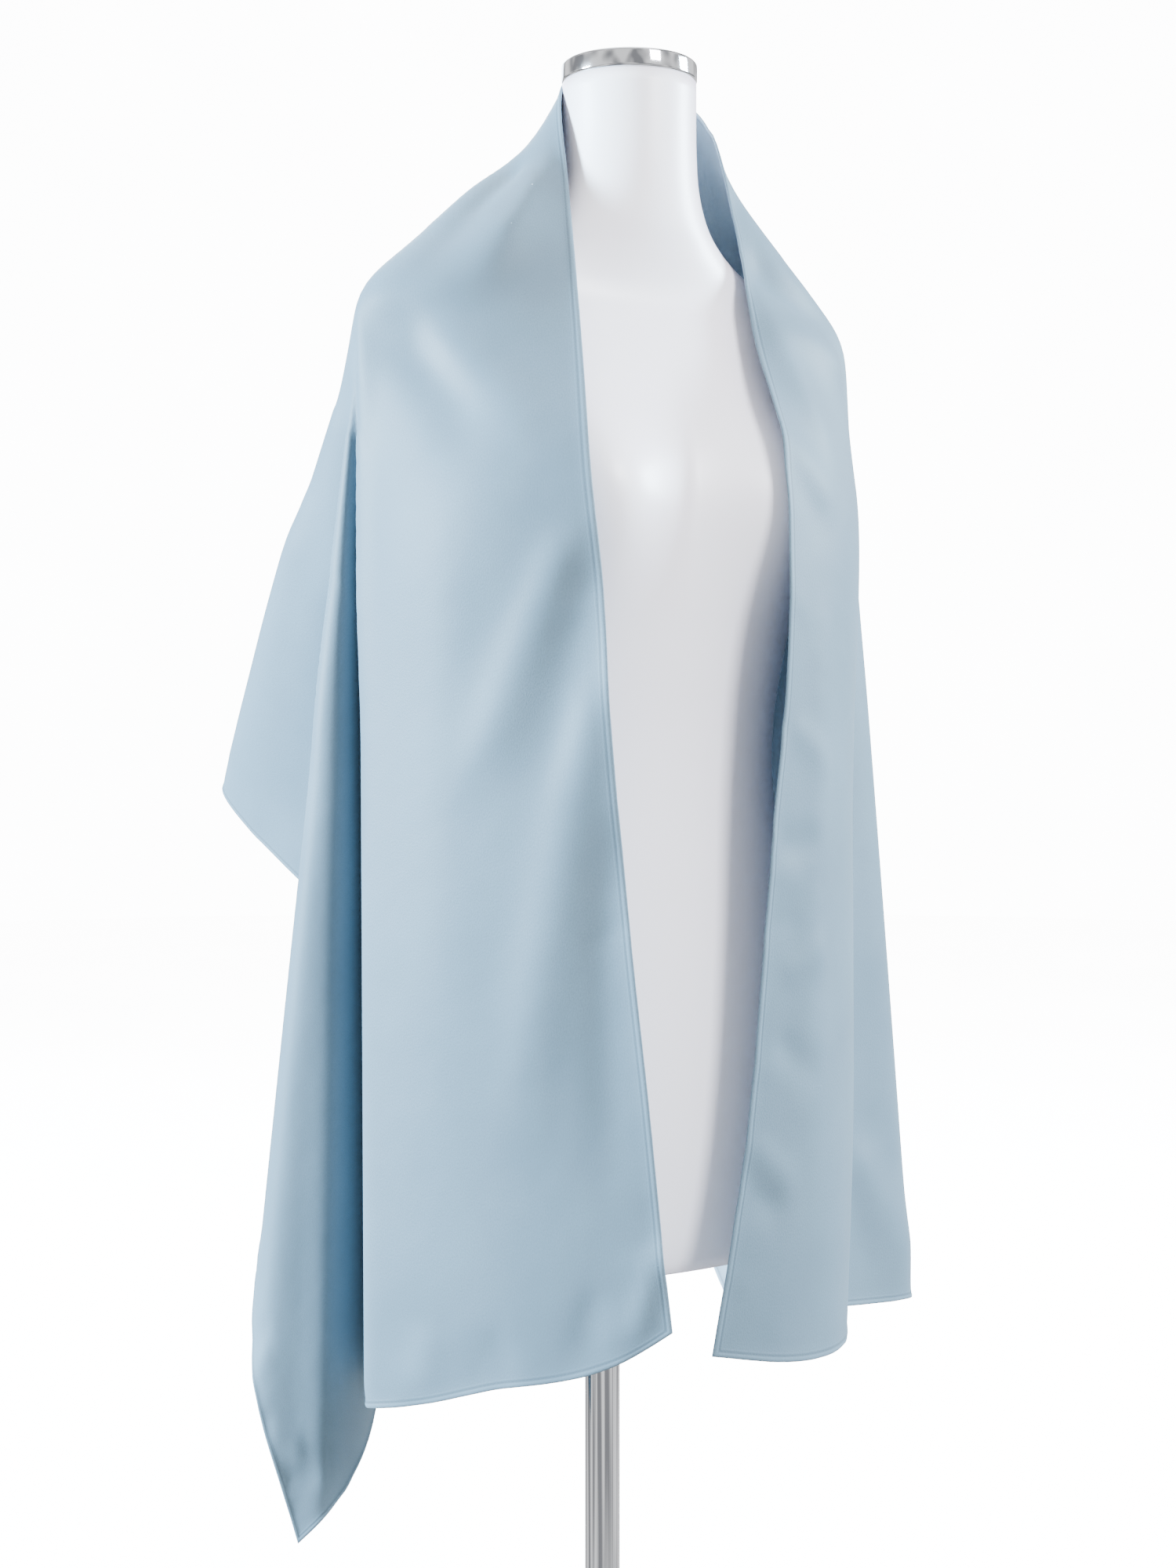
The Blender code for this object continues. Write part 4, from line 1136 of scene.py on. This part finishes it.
class StoleSizes(bpy.types.PropertyGroup):
    """Sizes of the cloth and its sewing."""

    thickness: bpy.props.FloatProperty(
        name="Cloth thickness",
        description="Thickness of the satin away from its hems",
        default=0.0006,
        min=0.0002,
        max=0.003,
        subtype="DISTANCE",
        unit="LENGTH",
    )
    stitch_spacing: bpy.props.FloatProperty(
        name="Stitch spacing",
        description="Distance from one hem stitch to the next",
        default=0.0026,
        min=0.001,
        max=0.01,
        subtype="DISTANCE",
        unit="LENGTH",
    )
    stitch_length: bpy.props.FloatProperty(
        name="Stitch length",
        description="Length of thread that shows in one stitch",
        default=0.0021,
        min=0.0005,
        max=0.01,
        subtype="DISTANCE",
        unit="LENGTH",
    )
    thread_width: bpy.props.FloatProperty(
        name="Thread width",
        description="Width of the sewing thread",
        default=0.0004,
        min=0.0001,
        max=0.002,
        subtype="DISTANCE",
        unit="LENGTH",
    )


class StoleColours(bpy.types.PropertyGroup):
    """Colours of the cloth, the form and its fittings, as sRGB hex values."""

    satin_light: bpy.props.StringProperty(
        name="Satin, light",
        description="Lighter tone of the satin's shining side",
        default="#718A9A",
    )
    satin_dark: bpy.props.StringProperty(
        name="Satin, dark",
        description="Darker tone of the satin's shining side",
        default="#546A79",
    )
    # The dull side's tones are far lighter than the shining side's: partly its own paler tone, partly painted
    # light on the shaded inside of the collar and the folds
    inside_light: bpy.props.StringProperty(
        name="Inside, light",
        description="Lighter tone of the satin's dull side",
        default="#AAC0D2",
    )
    inside_dark: bpy.props.StringProperty(
        name="Inside, dark",
        description="Darker tone of the satin's dull side",
        default="#9CB2C4",
    )
    form: bpy.props.StringProperty(
        name="Form",
        description="Colour of the dress form",
        default="#FBF9FF",
    )
    # Painted shade: the colour the form's coat is painted towards its silhouette
    form_painted_shade: bpy.props.StringProperty(
        name="Form, shade",
        description="Colour of the dress form where its coat turns away from the eye",
        default="#D8CBD5",
    )
    chrome: bpy.props.StringProperty(
        name="Chrome",
        description="Colour of the neck cap, pole, collar and base",
        default="#C6C7CA",
    )


class STOLE_OT_dress_form(bpy.types.Operator):
    """Make the smooth dress form, its neck cap and its stand"""

    bl_idname = "stole.dress_form"
    bl_label = "Dress form"

    def execute(self, context):
        colours = context.scene.stole_colours
        gloss = gloss_material(colours.form, colours.form_painted_shade)
        chrome = chrome_material(colours.chrome)
        form = lofted_mesh("dress_form", form_rings())
        form.materials.append(gloss)
        add_piece("dress_form", form, "form_gloss", "form_body")
        for node, name, edge, segments in (
            ("neck_cap", "chrome_neck_cap", 0.22, 128),
            ("pole_collar", "chrome_collar", 0.2, 64),
            ("pole", "chrome_pole", 0.02, 64),
            ("base_plate", "chrome_base", 0.35, 160),
        ):
            low, high = (np.array(corner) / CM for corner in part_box(node))
            radius = (high[0] - low[0]) / 2
            profile = rounded_profile(radius, low[2], high[2], edge)
            mesh = lofted_mesh(name, lathe_rings(profile, segments, (low[1] + high[1]) / 2))
            mesh.materials.append(chrome)
            add_piece(name, mesh, "chrome", node)
        return {"FINISHED"}


class STOLE_OT_cloth(bpy.types.Operator):
    """Drape the satin over the form and sew its hems"""

    bl_idname = "stole.cloth"
    bl_label = "Satin stole"

    def execute(self, context):
        sizes, colours = context.scene.stole_sizes, context.scene.stole_colours
        form = bpy.data.objects.get("dress_form")
        cap = bpy.data.objects.get("chrome_neck_cap")
        if form is None or cap is None:
            raise RuntimeError("The stole needs the dress form: make that first")
        vertices, faces = [], []
        for thing in (form, cap):
            shift = len(vertices)
            vertices += [tuple(v.co / CM) for v in thing.data.vertices]
            faces += [tuple(k + shift for k in p.vertices) for p in thing.data.polygons]
        tree = BVHTree.FromPolygons(vertices, faces)

        right = Side(RIGHT_TIP, RIGHT_EDGE, RIGHT_FOLDS, RIGHT_BULGES, RIGHT_HEM)
        left = Side(LEFT_TIP, LEFT_EDGE, LEFT_FOLDS, LEFT_BULGES, LEFT_HEM)
        along, across = flat_grid(right, left)
        grid = softened(draped(along, across, right, left), SOFTENING_PASSES)
        grid = softened(creased(grid, along, across), CREASE_SOFTENING)
        deepest = max(row.half for row in HEM_ROWS)
        grid = settled(grid, deepest, tree)
        grid, flat, half = with_hems(grid, along, across)
        normals = normals_of(grid)
        wall = half[..., None]
        mesh = wall_mesh("satin_stole", grid + normals * wall, grid - normals * wall, flat)
        mesh.materials.append(
            satin_material("polyester satin, shining side", colours.satin_light, colours.satin_dark, 0.52, 0.08)
        )
        # Dull side: its lighter tones are partly painted light on the shaded inside of the collar and the folds
        mesh.materials.append(
            satin_material("polyester satin, dull side", colours.inside_light, colours.inside_dark, 0.6, 0.1)
        )
        solids = [name for name in sorted(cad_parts) if name.startswith(("stole_", "hem_"))]
        stole = add_piece("satin_stole", mesh, "satin", *solids)

        points, facing, edges = [], [], []
        for line, normal in stitch_lines(grid, normals, half):
            shift = len(points)
            points += (line * CM).tolist()
            facing += normal.tolist()
            edges += [(shift + k, shift + (k + 1) % len(line)) for k in range(len(line))]
        path = bpy.data.meshes.new("stitch path")
        path.from_pydata(points, edges, [])
        path.attributes.new("cloth_normal", "FLOAT_VECTOR", "POINT").data.foreach_set(
            "vector", np.array(facing, np.float32).ravel()
        )
        guide = bpy.data.objects.new("stitch path", path)
        context.scene.collection.objects.link(guide)
        thread = thread_material(colours.satin_dark)
        group = stitch_tree(thread)
        modifier = guide.modifiers.new("stitches", "NODES")
        modifier.node_group = group
        wanted = {
            "Spacing": sizes.stitch_spacing,
            "Stitch Length": sizes.stitch_length,
            "Thread Width": sizes.thread_width,
        }
        for item in group.interface.items_tree:
            if item.in_out == "INPUT" and item.name in wanted:
                modifier[item.identifier] = wanted[item.name]
        evaluated = guide.evaluated_get(context.evaluated_depsgraph_get())
        sewn = bpy.data.meshes.new_from_object(evaluated)
        sewn.name = "hem_stitches"
        bpy.data.objects.remove(guide)
        stitches = add_piece("hem_stitches", sewn, "satin")
        return {"FINISHED"}


class STOLE_OT_studio(bpy.types.Operator):
    """Make the pale floor, the soft lights and the camera"""

    bl_idname = "stole.studio"
    bl_label = "Studio"

    def execute(self, context):
        scene = context.scene
        paper = glowing_paper_material(BACKDROP_GLOW)
        floor = lathe_rings([(0.01, 0.0), (BACKDROP_RADIUS, 0.0)], 64) * CM
        wall = lathe_rings([(BACKDROP_RADIUS, 0.0), (BACKDROP_RADIUS, BACKDROP_HEIGHT)], 64) * CM
        for name, rings in (("studio_floor", floor[::-1]), ("studio_backdrop", wall[::-1])):
            mesh = bpy.data.meshes.new(name)
            count = rings.shape[1]
            faces = [(i, (i + 1) % count, count + (i + 1) % count, count + i) for i in range(count)]
            mesh.from_pydata((rings - (0, 0, 0.0005)).reshape(-1, 3).tolist(), [], faces)
            mesh.materials.append(paper)
            backdrop = bpy.data.objects.new(name, mesh)
            scene.collection.objects.link(backdrop)
            backdrop.visible_diffuse = False
            backdrop.visible_glossy = False
            backdrop.visible_shadow = False

        world = bpy.data.worlds.new("studio")
        world.use_nodes = True
        tree = world.node_tree
        tree.nodes.clear()
        direction = add_node(tree, "ShaderNodeTexCoord")
        patches = add_node(
            tree,
            "ShaderNodeTexNoise",
            {"Vector": direction.outputs["Generated"]},
            inputs={"Scale": ROOM_PATCHES, "Detail": 1.0},
        )
        tone = add_node(tree, "ShaderNodeValToRGB", {"Fac": patches.outputs["Fac"]})
        tone.color_ramp.elements[0].position = 0.4
        tone.color_ramp.elements[1].position = 0.6
        tone.color_ramp.elements[0].color = linear("#8A8B8E")
        tone.color_ramp.elements[1].color = linear("#FFFFFF")
        glow = add_node(
            tree, "ShaderNodeBackground", {"Color": tone.outputs["Color"]}, inputs={"Strength": ROOM_LIGHT}
        )
        add_node(tree, "ShaderNodeOutputWorld", {"Surface": glow.outputs["Background"]})
        scene.world = world

        for lamp_row in LAMPS:
            light = bpy.data.lights.new(lamp_row.name, "AREA")
            light.shape = "SQUARE"
            light.size = lamp_row.size
            light.energy = lamp_row.watts
            light.color = linear(lamp_row.colour)[:3]
            lamp = bpy.data.objects.new(lamp_row.name, light)
            place = Vector((lamp_row.x, lamp_row.y, lamp_row.z))
            lamp.location = place
            lamp.rotation_euler = (Vector(LAMP_TARGET) - place).to_track_quat("-Z", "Y").to_euler()
            scene.collection.objects.link(lamp)

        camera_data = bpy.data.cameras.new("camera")
        camera_data.lens = CAMERA_LENS
        camera_data.sensor_width = 36.0
        camera_data.shift_y = CAMERA_SHIFT
        camera = bpy.data.objects.new("camera", camera_data)
        camera.location = CAMERA_PLACE
        camera.rotation_euler = (radians(90.0), 0.0, radians(CAMERA_TURN))
        scene.collection.objects.link(camera)
        scene.camera = camera
        return {"FINISHED"}


class STOLE_PT_panel(bpy.types.Panel):
    """Sizes, colours and makers of the stole"""

    bl_idname = "STOLE_PT_panel"
    bl_label = "Evening stole"
    bl_space_type = "VIEW_3D"
    bl_region_type = "UI"
    bl_category = "Stole"

    def draw(self, context):
        for group in (context.scene.stole_sizes, context.scene.stole_colours):
            box = self.layout.box()
            for name in group.bl_rna.properties.keys():
                if name not in {"rna_type", "name"}:
                    box.prop(group, name)
        for operator in OPERATORS:
            self.layout.operator(operator.bl_idname)


OPERATORS = (STOLE_OT_dress_form, STOLE_OT_cloth, STOLE_OT_studio)
CLASSES = (StoleSizes, StoleColours, *OPERATORS, STOLE_PT_panel)


def register():
    for cls in CLASSES:
        bpy.utils.register_class(cls)
    bpy.types.Scene.stole_sizes = bpy.props.PointerProperty(type=StoleSizes)
    bpy.types.Scene.stole_colours = bpy.props.PointerProperty(type=StoleColours)


def unregister():
    del bpy.types.Scene.stole_colours
    del bpy.types.Scene.stole_sizes
    for cls in reversed(CLASSES):
        bpy.utils.unregister_class(cls)


def main():
    register()
    for maker in (bpy.ops.stole.dress_form, bpy.ops.stole.cloth, bpy.ops.stole.studio):
        if maker() != {"FINISHED"}:
            raise RuntimeError("A piece wasn't made")


if __name__ == "__main__":
    main()
